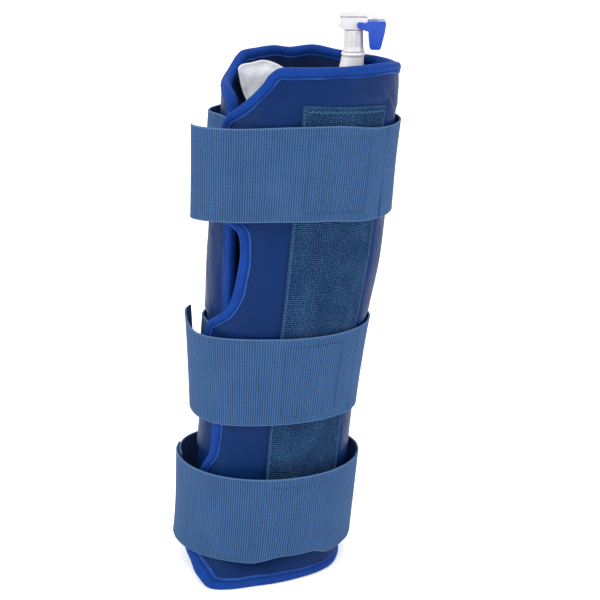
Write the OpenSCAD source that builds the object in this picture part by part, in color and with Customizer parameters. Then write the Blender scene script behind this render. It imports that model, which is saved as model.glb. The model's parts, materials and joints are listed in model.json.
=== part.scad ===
// Cold compression wrap: a padded two-panel sleeve rolled into an upright
// tube, closed by three webbing straps, with a water bladder and a lever
// valve at the top edge.  Millimetres, +Z up, origin on the floor at the
// middle of the back rim, +X to the valve side, -Y is the front with the
// landing strip.

/* [Sleeve] */
// Height of the sleeve
wrap_h = 430; // [425:1:435]
// Half width of the footprint
base_half_w = 64.75; // [63:0.25:67]
// Depth of the tube divided by its width
depth_ratio = 0.88; // [0.86:0.01:0.92]
// Lean of the valve side edge, mm of X for each mm of Z
lean_right = 0.119; // [0.115:0.001:0.122]
// Lean of the free side edge, mm of X for each mm of Z
lean_left = 0.08; // [0.076:0.001:0.084]
// How far the lower corner of the flap flares to the front
flare = 26; // [20:1:28]

/* [Layers] */
// Thickness of the nylon outer shell
shell_t = 1.0; // [0.8:0.1:1.2]
// Thickness of the foam
foam_t = 2.4; // [2.2:0.1:2.6]
// Thickness of the filled bladder
bladder_t = 3.2; // [2.4:0.1:3.6]
// Thickness of the inner liner
liner_t = 0.8; // [0.6:0.1:1]
// Width of the edge binding
binding_w = 8; // [6:0.5:9]
// Thickness of the edge binding tape
binding_t = 0.8; // [0.6:0.1:0.9]
// How far the flap's free edge stands outside the back panel
overlap_out = 10.4; // [10.2:0.1:10.8]

/* [Straps] */
// Width of the webbing
strap_w = 75; // [70:1:76]
// Thickness of the webbing
strap_t = 1.8; // [1.6:0.1:1.9]
// Height of the lower strap's middle
lower_z = 57.5; // [56.5:0.5:58.5]
// Height of the middle strap's middle
middle_z = 173.5; // [172:0.5:175]
// Height of the upper strap's middle
upper_z = 344.5; // [343:0.5:346]

/* [Landing strip] */
// First angle of the loop strip, from the front
landing_a0 = -4; // [-6:1:-2]
// Last angle of the loop strip
landing_a1 = 57; // [54:1:57]
// Lower end of the loop strip
landing_z0 = 40; // [36:1:44]
// Upper end of the loop strip
landing_z1 = 400; // [396:1:404]

/* [Valve] */
// X of the spout's centre
valve_x = 77.5; // [76.5:0.5:78.5]
// Y of the spout's centre
valve_y = -24.4; // [-25.4:0.5:-23.4]
// Radius of the spout's bore
bore_r = 3.2; // [3:0.1:3.4]
// Radius of the hose spigot
spigot_r = 3.2; // [3:0.1:3.25]
// Length of the hose spigot
spigot_l = 10; // [8:1:12]
// Radius of the trigger's pivot pin
pin_r = 1.0; // [0.9:0.05:1.1]
// Running gap round the pivot pin
pin_gap = 0.08; // [0.05:0.01:0.1]
// Width of the trigger paddle
paddle_w = 18.6; // [18:0.2:19]

/* [Hidden] */

navy = [0.10, 0.20, 0.47];
liner_navy = [0.09, 0.15, 0.34];
royal = [0.13, 0.33, 0.75];
foam_grey = [0.2, 0.2, 0.24];
webbing_blue = [0.27, 0.42, 0.60];
teal = [0.20, 0.38, 0.55];
hook_blue = [0.16, 0.28, 0.45];
strap_thread_blue = [0.45, 0.6, 0.75];
landing_thread_blue = [0.45, 0.62, 0.78];
white_plastic = [0.92, 0.92, 0.94];
blue_plastic = [0.10, 0.25, 0.85];
stem_grey = [0.85, 0.86, 0.9];
rubber = [0.15, 0.15, 0.17];
metal = [0.72, 0.73, 0.75];

// ---- the tube's form ---------------------------------------------------------
mid_y = -54.4;                   // Y of the tube's middle
mm_per_deg = 1.13;               // length round the tube for each degree
sag_z = 370;                     // the rim's sag fades in above this height
sag_fade = 60;
// how far the top rim hangs down: [angle, drop]
sag_table = [
  [-90, 0], [45, 0], [70, 1.8], [88, 4.4], [102, 6], [118, 5.6], [142, 5], [161, 2.8],
  [180, -0.8], [195, 0.9], [208, -1.2], [226, -0.3], [240, 0], [360, 0]];
// the flap's flare round its foot: [angle, share of the full flare]
flare_table = [
  [-90, 0], [-70, 0], [-50, 0.38], [-35, 0.85], [-22, 1], [0, 0.65], [27, 0.38],
  [53, 0.3], [74, 0.11], [90, 0]];
flare_fade = 17;                 // height over which the flare dies away

function deg_in(mm) = mm/mm_per_deg;
// smooth step from 0 to 1
function ease(t) = let (u = min(1, max(0, t))) u*u*(3 - 2*u);
function bell(z, middle, width) = exp(-pow((z - middle)/width, 2));
// X of the valve side and free side edges
function valve_side_x(z) = base_half_w + lean_right*z
  + 2.8*bell(z, 285, 55) - 3.2*bell(z, 150, 75) - 3*bell(z, 440, 30);
function free_side_x(z) = -base_half_w + 4 + lean_left*z
  - 4*bell(z, 0, 35) - 2.2*bell(z, 285, 40);
function mid_x(z) = (valve_side_x(z) + free_side_x(z))/2;
function half_w(z) = (valve_side_x(z) - free_side_x(z))/2;
function half_d(z) = depth_ratio*half_w(z);
// point on the tube: angle from the front (towards +X), height, offset outwards
function tube_point(a, z, out) = [
  mid_x(z) + (half_w(z) + out)*sin(a),
  mid_y - (half_d(z) + out)*cos(a),
  z - lookup(a, sag_table)*ease((z - sag_z)/sag_fade)];
// the flap spirals out over the back panel and flares at its lower corner
function flap_out(a, z) = overlap_out*ease(-a/50)
  + flare*lookup(a, flare_table)*exp(-pow(z/flare_fade, 2));
function flap_point(a, z, out) = tube_point(a, z, flap_out(a, z) + out);

// free edge of the flap: [height, angle], three tabs under the straps
flap_edge = [
  [0, -23.5], [2, -27], [6, -32], [9, -37.5], [12.5, -45], [16, -56], [22, -69],
  [32, -78], [50, -82], [66, -80], [77, -72], [84, -60], [89, -53.7], [95, -51.2],
  [102, -47.5], [113, -43.8], [131, -43.4], [139, -44.2], [148, -49], [156, -58],
  [164, -70], [173, -79], [188, -80.5], [197, -74], [205, -62], [212, -58],
  [219, -56.6], [226.4, -48.3], [230.5, -43.6], [236, -39.8], [242, -37.5], [257, -35],
  [281, -33.1], [289, -33.6], [298, -35.1], [302, -37.5], [307, -46], [314, -59],
  [324, -68], [345, -72], [362, -71], [371, -65], [379, -57], [388, -53.5],
  [398, -43], [405, -36.9], [412, -31.8], [418, -27.9], [424, -25.3], [430, -19.5]];
// free edge of the back panel: [height, angle], rounded corners
back_edge = [
  [0, 300], [3, 306.5], [8, 311.5], [16, 315], [30, 317], [52, 317.5], [95, 317.5],
  [140, 316.8], [183, 315.6], [233, 314], [275, 312.5], [312, 309.4], [345, 305.4],
  [370, 303], [391, 301], [398, 299], [403, 295], [406, 290], [409, 280], [412, 264],
  [417, 251], [421, 246], [425, 241.5], [430, 234]];

// ---- solids from points --------------------------------------------------------
function quad(p, q, r, s) = [[p, q, r], [p, r, s]];

// solid between two grids of points with the same rows and columns
module slab(grid_a, grid_b) {
  rows = len(grid_a);
  cols = len(grid_a[0]);
  function id(i, j, side) = side*rows*cols + i*cols + j;
  faces = concat(
    [for (i = [0:rows-2]) for (j = [0:cols-2])
      each quad(id(i, j, 0), id(i+1, j, 0), id(i+1, j+1, 0), id(i, j+1, 0))],
    [for (i = [0:rows-2]) for (j = [0:cols-2])
      each quad(id(i, j, 1), id(i, j+1, 1), id(i+1, j+1, 1), id(i+1, j, 1))],
    [for (j = [0:cols-2])
      each quad(id(0, j, 0), id(0, j+1, 0), id(0, j+1, 1), id(0, j, 1))],
    [for (j = [0:cols-2])
      each quad(id(rows-1, j+1, 0), id(rows-1, j, 0), id(rows-1, j, 1), id(rows-1, j+1, 1))],
    [for (i = [0:rows-2])
      each quad(id(i+1, 0, 0), id(i, 0, 0), id(i, 0, 1), id(i+1, 0, 1))],
    [for (i = [0:rows-2])
      each quad(id(i, cols-1, 0), id(i+1, cols-1, 0), id(i+1, cols-1, 1), id(i, cols-1, 1))]);
  polyhedron(
    points = concat([for (row = grid_a) each row], [for (row = grid_b) each row]),
    faces = faces, convexity = 6);
}

// solid through a line of rings; the caps are faces numbered within one ring
module sweep(rings, start_cap, end_cap, convexity) {
  corners = len(rings[0]);
  last = len(rings) - 1;
  sides = [for (i = [0:last-1]) for (j = [0:corners-1]) let (next = (j + 1)%corners)
    each quad(i*corners + j, i*corners + next, (i+1)*corners + next, (i+1)*corners + j)];
  end_faces = [for (face = end_cap) [for (corner = face) corner + last*corners]];
  polyhedron(points = [for (ring = rings) each ring],
    faces = concat(sides, start_cap, end_faces), convexity = convexity);
}

// ---- panel layers --------------------------------------------------------------
gap = 0.5;                       // air between sewn layers
edge_t = shell_t + foam_t + liner_t + 2*gap;
outline_inset = 0.8;             // panels stop this far inside their outline
foam_inset = 3.2;
hinge_a = 90;                    // angle of the fold between the panels
hinge_gap_a = 3;                 // half angle left open at the fold

// outer and inner face of each layer, as offsets from the tube
shell_faces = [0, -shell_t];
foam_faces = [-shell_t - gap, -shell_t - gap - foam_t];
liner_faces = [-edge_t + liner_t, -edge_t];
bladder_out = -edge_t + liner_t - 0.1;
bladder_faces = [bladder_out, bladder_out - bladder_t*0.8];
liner_swell = -bladder_t - gap;  // the liner bulges inwards over the bladder

flap_steps = 14;
back_steps = 17;
// shares of a panel's width, closer together towards its free edge
crowding = 1.28;
flap_shares = [for (j = [0:flap_steps]) pow(j/flap_steps, crowding)];
back_shares = [for (j = [0:back_steps]) 1 - pow(1 - j/back_steps, crowding)];

// row heights taken from an outline's points, away from both ends
function row_heights(outline) = concat(
  [outline_inset],
  [for (i = [1:len(outline)-2]) let (z = outline[i][0])
    if (z > outline_inset + 2 && z < wrap_h - outline_inset - 2) z],
  [wrap_h - outline_inset]);
function between(heights, low, high) = [for (z = heights) if (z > low && z < high) z];
flap_rows = row_heights(flap_edge);
flap_foam_rows = between(flap_rows, 5, wrap_h - 5);
flap_bladder_rows = between(flap_rows, 49, wrap_h - 51);
back_rows = row_heights(back_edge);
back_foam_rows = between(back_rows, 5, wrap_h - 4);
back_bladder_rows = between(back_rows, 49, wrap_h - 51);

// 0 at the edges, 1 where the bladder lies
function puff(share, z, start) = ease((share - start)/0.12)*ease((0.92 - share)/0.14)
  *ease((z - 26)/26)*ease((wrap_h - 30 - z)/22);

// Columns first..last of a row.  The panel's layers share their grid; a layer set in
// from the edges moves only its border points, along the chord to their neighbours.
function set_in(row, share, first, last) = let (end = len(row) - 1) [for (j = [first:last])
  j == 0 ? row[0] + (row[1] - row[0])*share
  : j == end ? row[end] + (row[end-1] - row[end])*share
  : row[j]];

function flap_grid(heights, out, swell, inset, first, last) = [for (z = heights)
  let (a0 = lookup(z, flap_edge) + deg_in(outline_inset), a1 = hinge_a - hinge_gap_a)
  set_in([for (u = flap_shares)
      flap_point(a0 + (a1 - a0)*u, z, out + swell*puff(u, z, 0.24))],
    deg_in(inset)/(a1 - a0)/flap_shares[1], first, last)];
function back_grid(heights, out, swell, inset, first, last) = [for (z = heights)
  let (a1 = lookup(z, back_edge) - deg_in(outline_inset), a0 = hinge_a + hinge_gap_a)
  set_in([for (u = back_shares)
      tube_point(a0 + (a1 - a0)*u, z, out + swell*puff(u, z, 0.08))],
    deg_in(inset)/(a1 - a0)/(1 - back_shares[back_steps-1]), first, last)];

module flap_layer(heights, faces, swell = 0, inset = 0, first = 0, last = flap_steps)
  slab(flap_grid(heights, faces[0], swell, inset, first, last),
       flap_grid(heights, faces[1], swell, inset, first, last));
module back_layer(heights, faces, swell = 0, inset = 0, first = 0, last = back_steps)
  slab(back_grid(heights, faces[0], swell, inset, first, last),
       back_grid(heights, faces[1], swell, inset, first, last));

module front_outer_shell() color(navy) flap_layer(flap_rows, shell_faces);
module front_foam_pad() color(foam_grey)
  flap_layer(flap_foam_rows, foam_faces, inset = foam_inset);
module front_inner_liner() color(liner_navy)
  flap_layer(flap_rows, liner_faces, swell = liner_swell);
module front_bladder() color(white_plastic)
  flap_layer(flap_bladder_rows, bladder_faces, first = 6, last = flap_steps - 2);

module back_outer_shell() color(navy) back_layer(back_rows, shell_faces);
module back_foam_pad() color(foam_grey)
  back_layer(back_foam_rows, foam_faces, inset = foam_inset);
module back_inner_liner() color(liner_navy)
  back_layer(back_rows, liner_faces, swell = liner_swell);
module back_bladder() color(white_plastic)
  back_layer(back_bladder_rows, bladder_faces, first = 3, last = back_steps - 5);

// lobe of the bladder that stands in the mouth of the sleeve;
// u runs across it from -1 to 1, v up it from 0 to 1
lobe_a = 224;
lobe_z = 386;
lobe_rows = [0, 0.35, 0.65, 0.85, 1];
function lobe_angle(u, v) = u < 0 ? lobe_a + 33*u
  : lobe_a + 34*u - 19*u*(1 - v)*(1 - 0.3*v);
function lobe_top(u) = 422.5 - 4.5*ease((-u - 0.25)/0.75) - 3*pow(abs(u), 6);
function lobe_grid(out) = [for (v = lobe_rows) [for (j = [0:14]) let (u = -1 + j/7)
  tube_point(lobe_angle(u, v), lobe_z + (lobe_top(u) - lobe_z)*v, out)]];
module bladder_lobe() color(white_plastic) slab(lobe_grid(-9.6), lobe_grid(-11.4));

// ---- edge binding: a folded tape swept round a panel's outline -----------------
binding_gap = 0.35;              // between the tape and the panel's faces
fold_outer = -1;                 // the fold's two faces, beyond the path
fold_inner = -0.2;
binding_z0 = 1;                  // the path's lower and upper runs
binding_z1 = wrap_h - 1;
tape_out = binding_gap;
tape_in = -edge_t - binding_gap;
// U section: [distance inwards from the path, offset from the tube]
tape_section = [
  [fold_outer, binding_t + tape_out], [binding_w, binding_t + tape_out],
  [binding_w, tape_out], [fold_inner, tape_out],
  [fold_inner, tape_in], [binding_w, tape_in],
  [binding_w, tape_in - binding_t], [fold_outer, tape_in - binding_t]];

// adds the inward direction to a path of [angle, height]:
// [angle, height, inward angle step per mm, inward height step per mm]
function with_inward(path, side) = let (n = len(path)) [for (i = [0:n-1])
  let (before = path[max(0, i-1)], after = path[min(n-1, i+1)],
       along = (after[0] - before[0])*mm_per_deg, rise = after[1] - before[1],
       dist = norm([along, rise]))
  [path[i][0], path[i][1], side*(-rise/dist)/mm_per_deg, side*(along/dist)]];
flap_path = with_inward(concat(
  [for (a = [87, 78, 68, 57, 46, 35, 24, 13, 2, -7, -15]) [a, binding_z0]],
  [for (v = flap_edge) [v[1], min(binding_z1, max(binding_z0, v[0]))]],
  [for (a = [-8, 4, 16, 28, 40, 52, 64, 76, 87]) [a, binding_z1]]), -1);
back_path = with_inward(concat(
  [for (a = [93:12:297]) [a, binding_z0]],
  [for (v = back_edge) if (v[0] > 2 && v[0] < wrap_h - 2) [v[1], v[0]]],
  [for (a = [230:-11.4:93]) [a, binding_z1]]), 1);

module binding(rings) sweep(rings,
  [each quad(3, 2, 1, 0), each quad(7, 4, 3, 0), each quad(7, 6, 5, 4)],
  [each quad(0, 1, 2, 3), each quad(0, 3, 4, 7), each quad(4, 5, 6, 7)], 8);
// the flap's path runs the other way round, so its section is reversed
module front_edge_binding() color(royal)
  binding([for (p = flap_path) [for (i = [7:-1:0]) let (s = tape_section[i])
    flap_point(p[0] + p[2]*s[0], p[1] + p[3]*s[0], s[1])]]);
module back_edge_binding() color(royal)
  binding([for (p = back_path) [for (s = tape_section)
    tube_point(p[0] + p[2]*s[0], p[1] + p[3]*s[0], s[1])]]);

// ---- landing strip --------------------------------------------------------------
thread_w = 0.8;
thread_t = 0.35;
landing_faces = [1.7, 0.4];      // outer and inner face, from the flap
landing_thread_out = 1.9;
landing_rows = 16;
landing_cols = 8;

function patch_grid(a0, a1, z0, z1, rows, cols, out) = [for (i = [0:rows])
  [for (j = [0:cols]) flap_point(a0 + (a1 - a0)*j/cols, z0 + (z1 - z0)*i/rows, out)]];
module flap_patch(a0, a1, z0, z1, rows, cols, faces)
  slab(patch_grid(a0, a1, z0, z1, rows, cols, faces[0]),
       patch_grid(a0, a1, z0, z1, rows, cols, faces[1]));

module loop_landing_strip() color(teal)
  flap_patch(landing_a0, landing_a1, landing_z0, landing_z1,
    landing_rows, landing_cols, landing_faces);
// box of thread just inside the strip's edges
module landing_strip_stitching() color(landing_thread_blue) {
  a0 = landing_a0 + 2;
  a1 = landing_a1 - 2;
  z0 = landing_z0 + 3;
  z1 = landing_z1 - 3;
  thread_a = deg_in(thread_w);
  corner_a = thread_a + 0.3;
  faces = [landing_thread_out + thread_t, landing_thread_out];
  for (a = [a0, a1 - thread_a])
    flap_patch(a, a + thread_a, z0, z1, landing_rows, 1, faces);
  for (z = [z0, z1 - thread_w])
    flap_patch(a0 + corner_a, a1 - corner_a, z, z + thread_w, 1, landing_cols, faces);
}

// ---- straps -----------------------------------------------------------------------
// plan of each strap: [angle, offset of the webbing's middle from the tube]
upper_ring = [
  [304, 2.1], [294, 2.1], [286, 2.6], [280, 5.6], [271, 9.2], [261, 8.4], [248, 4.8],
  [232, 2.4], [212, 2.3], [190, 2.3], [168, 2.3], [146, 2.3], [124, 2.5], [108, 3.2],
  [96, 4.2], [84, 4.6], [70, 4.9], [57, 5], [42, 5], [28, 5], [14, 5], [2, 5.4],
  [-10, 6.2], [-22, 9.4], [-33, 15], [-43, 22], [-50, 28], [-55, 31.5], [-59, 33],
  [-62.5, 32], [-66, 27.5], [-70, 22], [-76, 18], [-84, 16]];
middle_ring = [
  [304, 2.05], [292, 2.1], [281, 2.1], [271, 3.6], [260, 3.4], [248, 2.7], [232, 2.4],
  [212, 2.3], [190, 2.3], [168, 2.3], [146, 2.3], [124, 2.4], [108, 2.5], [96, 2.8],
  [84, 3.4], [70, 4.4], [57, 5], [42, 5], [28, 5], [14, 5], [2, 5.4], [-10, 6.6],
  [-22, 9.6], [-34, 13.8], [-45, 16.6], [-56, 16.8], [-67, 15.4], [-78, 14],
  [-88, 13.6], [-94, 14.4]];
lower_back = [
  [270, 13.8], [262, 13.9], [252, 13.6], [240, 11.4], [226, 7.4], [210, 3.6],
  [192, 2.3], [172, 2.3], [152, 3], [134, 5], [118, 7], [105, 8.2], [96, 8.8], [84, 9.4]];
lower_front = [
  [96, 8.8], [84, 9.4], [70, 10.4], [57, 11.4], [42, 12.8], [28, 14.2], [14, 15.4],
  [0, 16.4], [-14, 17], [-28, 17.4], [-42, 17.6], [-56, 17.4], [-70, 16.8],
  [-82, 16.8], [-90, 16.8], [-97, 16.8]];

// how a strap hangs: [1 where it takes up the sleeve's taper, its lean at the free side
// as a share of the sleeve's lean, its rise at the free side, its rise at the valve side,
// share of the width the rise fades over, its drop where it turns round the valve side]
upper_hang = [0, 0.27, 0, 3.7, 0.95, 4.5];
upper_back_hang = [1, 1, 5, 3.7, 1.9, 4.5];
middle_hang = [1, 0.1, 1.5, 3.5, 1.9, 0];
middle_back_hang = [1, 1, 4, 3.5, 1.9, 0];
lower_hang = [1, 0.45, 0, 0, 1, 0];

// strap runs: [plan, height of the middle, hang]
upper_back_run = [upper_ring, upper_z, upper_back_hang];
upper_run = [upper_ring, upper_z, upper_hang];
middle_back_run = [middle_ring, middle_z, middle_back_hang];
middle_run = [middle_ring, middle_z, middle_hang];
lower_back_run = [lower_back, lower_z, lower_hang];
lower_run = [lower_front, lower_z, lower_hang];

segment_cuts = 2;                // pieces each plan segment is cut into
hook_margin = 5;                 // webbing left bare above and below a hook patch
thread_margin = 7;

// a run's plan in X and Y from the tube's middle
function plan(run) = let (z = run[1]) [for (v = run[0])
  let (p = tube_point(v[0], z, v[1])) [p[0] - mid_x(z), p[1] - mid_y]];
// Catmull-Rom curve from p1 to p2
function curve(p0, p1, p2, p3, t) = 0.5*(2*p1 + (p2 - p0)*t
  + (2*p0 - 5*p1 + 4*p2 - p3)*t*t + (3*p1 - p0 - 3*p2 + p3)*t*t*t);
// the run's plan from point first to point last, as a smooth line
function smooth(run, first, last) = let (q = plan(run), end = len(q) - 1) concat(
  [for (i = [first:last-1]) for (j = [0:segment_cuts-1])
    curve(q[max(0, i-1)], q[i], q[min(end, i+1)], q[min(end, i+2)], j/segment_cuts)],
  [q[last]]);
// unit vectors across a line, towards the inside of the tube
function inward(line) = let (end = len(line) - 1) [for (i = [0:end])
  let (d = line[min(end, i+1)] - line[max(0, i-1)]) [d[1], -d[0]]/norm(d)];
// shorten a line by a length at each end
function pull(from, to, dist) = from + (to - from)/norm(to - from)*dist;
function trim(line, start, end) = let (n = len(line)) concat(
  [pull(line[0], line[1], start)],
  [for (i = [1:n-2]) line[i]],
  [pull(line[n-1], line[n-2], end)]);

// webbing along a line, between two heights and two depths (inside is +)
module ribbon(line, run, z0, z1, depth0, depth1) {
  run_z = run[1];
  hang = run[2];
  taper = hang[0];
  free_lean = hang[1];
  free_rise = hang[2];
  valve_rise = hang[3];
  rise_fade = hang[4];
  turn_drop = hang[5];
  across = inward(line);
  function row(z, depth) =
    let (grow = 1 + taper*(half_w(z)/half_w(run_z) - 1)) [for (i = [0:len(line)-1])
      let (u = line[i][0]/half_w(run_z),
           lean = free_lean + (1 - free_lean)*ease((u + 1)/1.6))
      [grow*line[i][0] + across[i][0]*depth + mid_x(run_z) + (mid_x(z) - mid_x(run_z))*lean,
       mid_y + grow*line[i][1] + across[i][1]*depth,
       z + free_rise + (valve_rise - free_rise)*ease((u + 0.95)/rise_fade)
         - turn_drop*ease((u - 0.3)/0.6)]];
  heights = [for (i = [0:3]) z0 + (z1 - z0)*i/3];
  slab([for (z = heights) row(z, depth1)], [for (z = heights) row(z, depth0)]);
}
// full-width webbing over part of a run, cut back at its start and end
module band(run, first, last, start, end) color(webbing_blue)
  ribbon(trim(smooth(run, first, last), start, end), run,
    run[1] - strap_w/2, run[1] + strap_w/2, -strap_t/2, strap_t/2);
// patch on the inside of the webbing
module hook(run, first, last) color(hook_blue)
  ribbon(smooth(run, first, last), run,
    run[1] - strap_w/2 + hook_margin, run[1] + strap_w/2 - hook_margin,
    strap_t/2 + 0.1, strap_t/2 + 1.1);
// two lines of thread on the outside of the webbing
module strap_thread(run, first, last) color(strap_thread_blue) {
  line = smooth(run, first, last);
  inner = -strap_t/2 - 0.15;
  for (z = [run[1] - strap_w/2 + thread_margin, run[1] + strap_w/2 - thread_margin - thread_w])
    ribbon(line, run, z, z + thread_w, inner - thread_t, inner);
}

module upper_strap_base() band(upper_back_run, 0, 14, 0, 1);
module middle_strap_base() band(middle_back_run, 0, 13, 0, 1);
module lower_strap_base() band(lower_back_run, 0, 12, 0, 3);
module upper_strap_bridge() band(upper_run, 15, 17, 2, 2.5);
module middle_strap_bridge() band(middle_run, 14, 16, 1, 2.5);
module lower_strap_bridge() band(lower_run, 1, 3, 5, 2.5);
module upper_strap() band(upper_run, 17, 33, 2.5, 0);
module middle_strap() band(middle_run, 16, 29, 2.5, 0);
module lower_strap() band(lower_run, 3, 15, 2.5, 0);
module upper_hook_patch() hook(upper_run, 18, 21);
module middle_hook_patch() hook(middle_run, 17, 20);
module lower_hook_patch() hook(lower_run, 4, 7);
module upper_strap_stitching() strap_thread(upper_run, 18, 21);
module middle_strap_stitching() strap_thread(middle_run, 17, 20);
module lower_strap_stitching() strap_thread(lower_run, 4, 7);
module strap_base_stitching() {
  strap_thread(upper_back_run, 8, 11);
  strap_thread(middle_back_run, 7, 10);
  strap_thread(lower_back_run, 5, 8);
}

// ---- valve: X and Y from the spout's centre, Z from the floor --------------------
wall_dir = 57;                   // direction from the spout to the bladder wall
elbow_z = 386;
elbow_r = 5.6;
port_z = 392;                    // axis of the elbow's side port
body_z = 417;
body_cone_z = 430;
nut_z = 426;
stem_z = 437.6;
stem_disc_h = 3.6;
stem_disc_r = 4.2;
groove_z = 438.6;                // the stem's O-ring groove
groove_h = 1.6;
head_w = 15;
pivot_x = 5;
pivot_z = 450.6;
spigot_z = 451.2;
screw_x = -6.5;
screw_y = 5;
spring_r = 3.4;
spring_wire_r = 0.42;
spring_z0 = 426.4;
spring_z1 = 437;
spring_turns = 5;
spring_steps = 72;
spring_corners = 6;

module at_valve() translate([valve_x, valve_y, 0]) children();
// upright cylinder standing at a height
module post(z, h, r, facets = 48) translate([0, 0, z]) cylinder(r = r, h = h, $fn = facets);
// Z axis turned to point from the elbow to the bladder wall
module to_wall()
  translate([0, 0, port_z]) rotate([0, 0, wall_dir]) rotate([0, 90, 0]) children();
// profile in X-Z, extruded across Y
module xz(w) rotate([90, 0, 0]) translate([0, 0, -w/2]) linear_extrude(height = w) children();
// rod on the trigger's pivot axis, running to -Y from y
module pivot_rod(r, y = 10, h = 20)
  translate([pivot_x, y, pivot_z]) rotate([90, 0, 0]) cylinder(r = r, h = h, $fn = 48);
// Z axis turned to +Y along the spigot
module on_spigot() translate([0, 0, spigot_z]) rotate([-90, 0, 0]) children();
module at_screws() for (y = [screw_y, -screw_y]) translate([screw_x, y, 0]) children();

module spout_elbow() color(white_plastic) at_valve() difference() {
  union() {
    post(elbow_z, 30, elbow_r);
    to_wall() post(0, 4.4, elbow_r);
    to_wall() post(4.2, 1.4, 9.5);
  }
  post(elbow_z + 3, 30, bore_r);
  to_wall() post(0, 9, bore_r - 0.4);
}
// oval skirt round the elbow, wider and further to -X at its foot
module spout_skirt() color(white_plastic) at_valve() difference() {
  hull() {
    translate([-3.2, 0, 402]) scale([1, 0.86, 1]) cylinder(r = 11.4, h = 1, $fn = 32);
    translate([-0.4, 0, 425]) cylinder(r = 9.2, h = 0.8, $fn = 32);
  }
  post(401, 13, 5.8);
  post(413, 14, 6.9);
}
module collar_nut() color(white_plastic) at_valve() difference() {
  union() {
    post(nut_z, 3.6, 9.4, 64);
    post(nut_z + 1, 1.4, 9.9, 64);
  }
  post(nut_z - 1, 6, 6.6, 64);
}
// tube with a flat window beside the trigger
module valve_body() color(white_plastic) at_valve() difference() {
  union() {
    post(body_z, 14, 6.4, 64);
    translate([0, 0, body_cone_z]) cylinder(r1 = 8.9, r2 = 8.1, h = 4, $fn = 64);
    translate([0, 0, body_cone_z + 4]) cylinder(r1 = 8.1, r2 = 7.7, h = 13.3, $fn = 64);
  }
  post(body_z - 1, 10, bore_r);
  post(body_z + 7, 30, 4.6);
  translate([1.6, -12, 433.5]) cube([5, 5.4, 12]);
}
module valve_head() color(white_plastic) at_valve() difference() {
  xz(head_w) polygon([
    [-11.6, 458], [-10, 455.6], [-13.2, 451.6], [-7.7, 447.9],
    [9.6, 447.9], [11.4, 450.5], [11.4, 457.2], [9.6, 457.9]]);
  post(447, 7, 4.2);
  translate([1.2, -3.2, 447]) cube([12, 6.4, 8.2]);
  pivot_rod(pin_r);
  on_spigot() post(3.4, 10, 2.64);
  at_screws() post(452, 8, 0.7, 24);
}
// sloping cap with a shallow groove along its -Y edge and sunk screw holes
module valve_cap() color(white_plastic) at_valve() difference() {
  xz(head_w + 1) polygon([
    [-11.8, 458.4], [-11.8, 462.2], [-3.5, 463.6], [0.5, 463.2],
    [19.9, 458], [19.9, 456.4], [9.6, 458.5]]);
  translate([-0.4, -9, 462.1]) rotate([0, 15, 0]) cube([16, 1.6, 0.7]);
  at_screws() {
    post(457, 8, 0.8, 24);
    post(461.2, 6, 1.5, 24);
  }
}
module cap_screws() color(metal) at_valve() at_screws() {
  post(453.2, 8.2, 0.62, 24);
  difference() {
    post(461.3, 0.9, 1.35, 24);
    translate([-1.2, -0.15, 461.8]) cube([2.4, 0.3, 1]);
  }
}
module trigger_pin() color(metal) at_valve() pivot_rod(pin_r - 0.01, y = 7.2, h = 16.1);
// pivot arm, grooved paddle and a cheek on the paddle's -Y side
module trigger_lever() color(blue_plastic) at_valve() difference() {
  cheek_w = 1.6;
  groove_w = 0.7;
  union() {
    xz(6) polygon([
      [1.7, 449.6], [2.8, 448.6], [5, 448.2], [12.6, 448.4],
      [12.6, 454.6], [5.2, 453.9], [2.8, 452.9], [1.7, 451.4]]);
    xz(paddle_w) polygon([
      [11.8, 454.9], [24.6, 454.9], [26.2, 453.6], [25.2, 446], [22, 433],
      [20.6, 431.9], [14.4, 431.9], [12.9, 433.4], [12.2, 441]]);
    translate([0, cheek_w/2 - paddle_w/2, 0]) xz(cheek_w) polygon([
      [2.3, 451.6], [3.2, 449.4], [5, 448.6], [12.4, 446.4], [12.4, 454.9],
      [9, 453.6], [6.4, 454.2], [4.4, 454.4], [2.9, 453.6]]);
  }
  pivot_rod(pin_r + pin_gap);
  for (i = [-2:2])
    translate([21.5, i*2.2 - groove_w/2, 436]) rotate([0, -13, 0]) cube([6, groove_w, 15]);
}
module valve_stem() color(stem_grey) at_valve() difference() {
  union() {
    post(441, 5.6, 2.2);
    post(stem_z, stem_disc_h, stem_disc_r);
  }
  translate([0, 0, groove_z]) difference() {
    post(0, groove_h, 5);
    post(-1, 4, 3.3);
  }
}
module stem_o_ring() color(rubber) at_valve()
  translate([0, 0, groove_z + groove_h/2])
    rotate_extrude($fn = 64) translate([3.95, 0]) circle(r = 0.55, $fn = 24);
// coil between the seat and the stem
module valve_spring() color(metal) at_valve() {
  rings = [for (i = [0:spring_steps])
    let (t = i/spring_steps, turn = 360*spring_turns*t,
         centre = [spring_r*cos(turn), spring_r*sin(turn),
           spring_z0 + (spring_z1 - spring_z0)*t])
    [for (j = [0:spring_corners-1]) let (v = 360*j/spring_corners)
      centre + spring_wire_r*[cos(v)*cos(turn), cos(v)*sin(turn), sin(v)]]];
  sweep(rings, [[for (j = [spring_corners-1:-1:0]) j]], [[for (j = [0:spring_corners-1]) j]], 6);
}
// plain spigot at the back of the head, that a pump or drain hose pushes on to
module hose_spigot() color(white_plastic) at_valve() on_spigot() difference() {
  root = 9;
  union() {
    post(4.2, 4, 2.6);
    post(root - 1.4, 1.4, 3.8);
    post(root, spigot_l, spigot_r, 64);
    translate([0, 0, root + spigot_l])
      cylinder(r1 = spigot_r, r2 = spigot_r - 0.7, h = 1, $fn = 64);
  }
  post(3, 30, 1.3);
}

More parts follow.
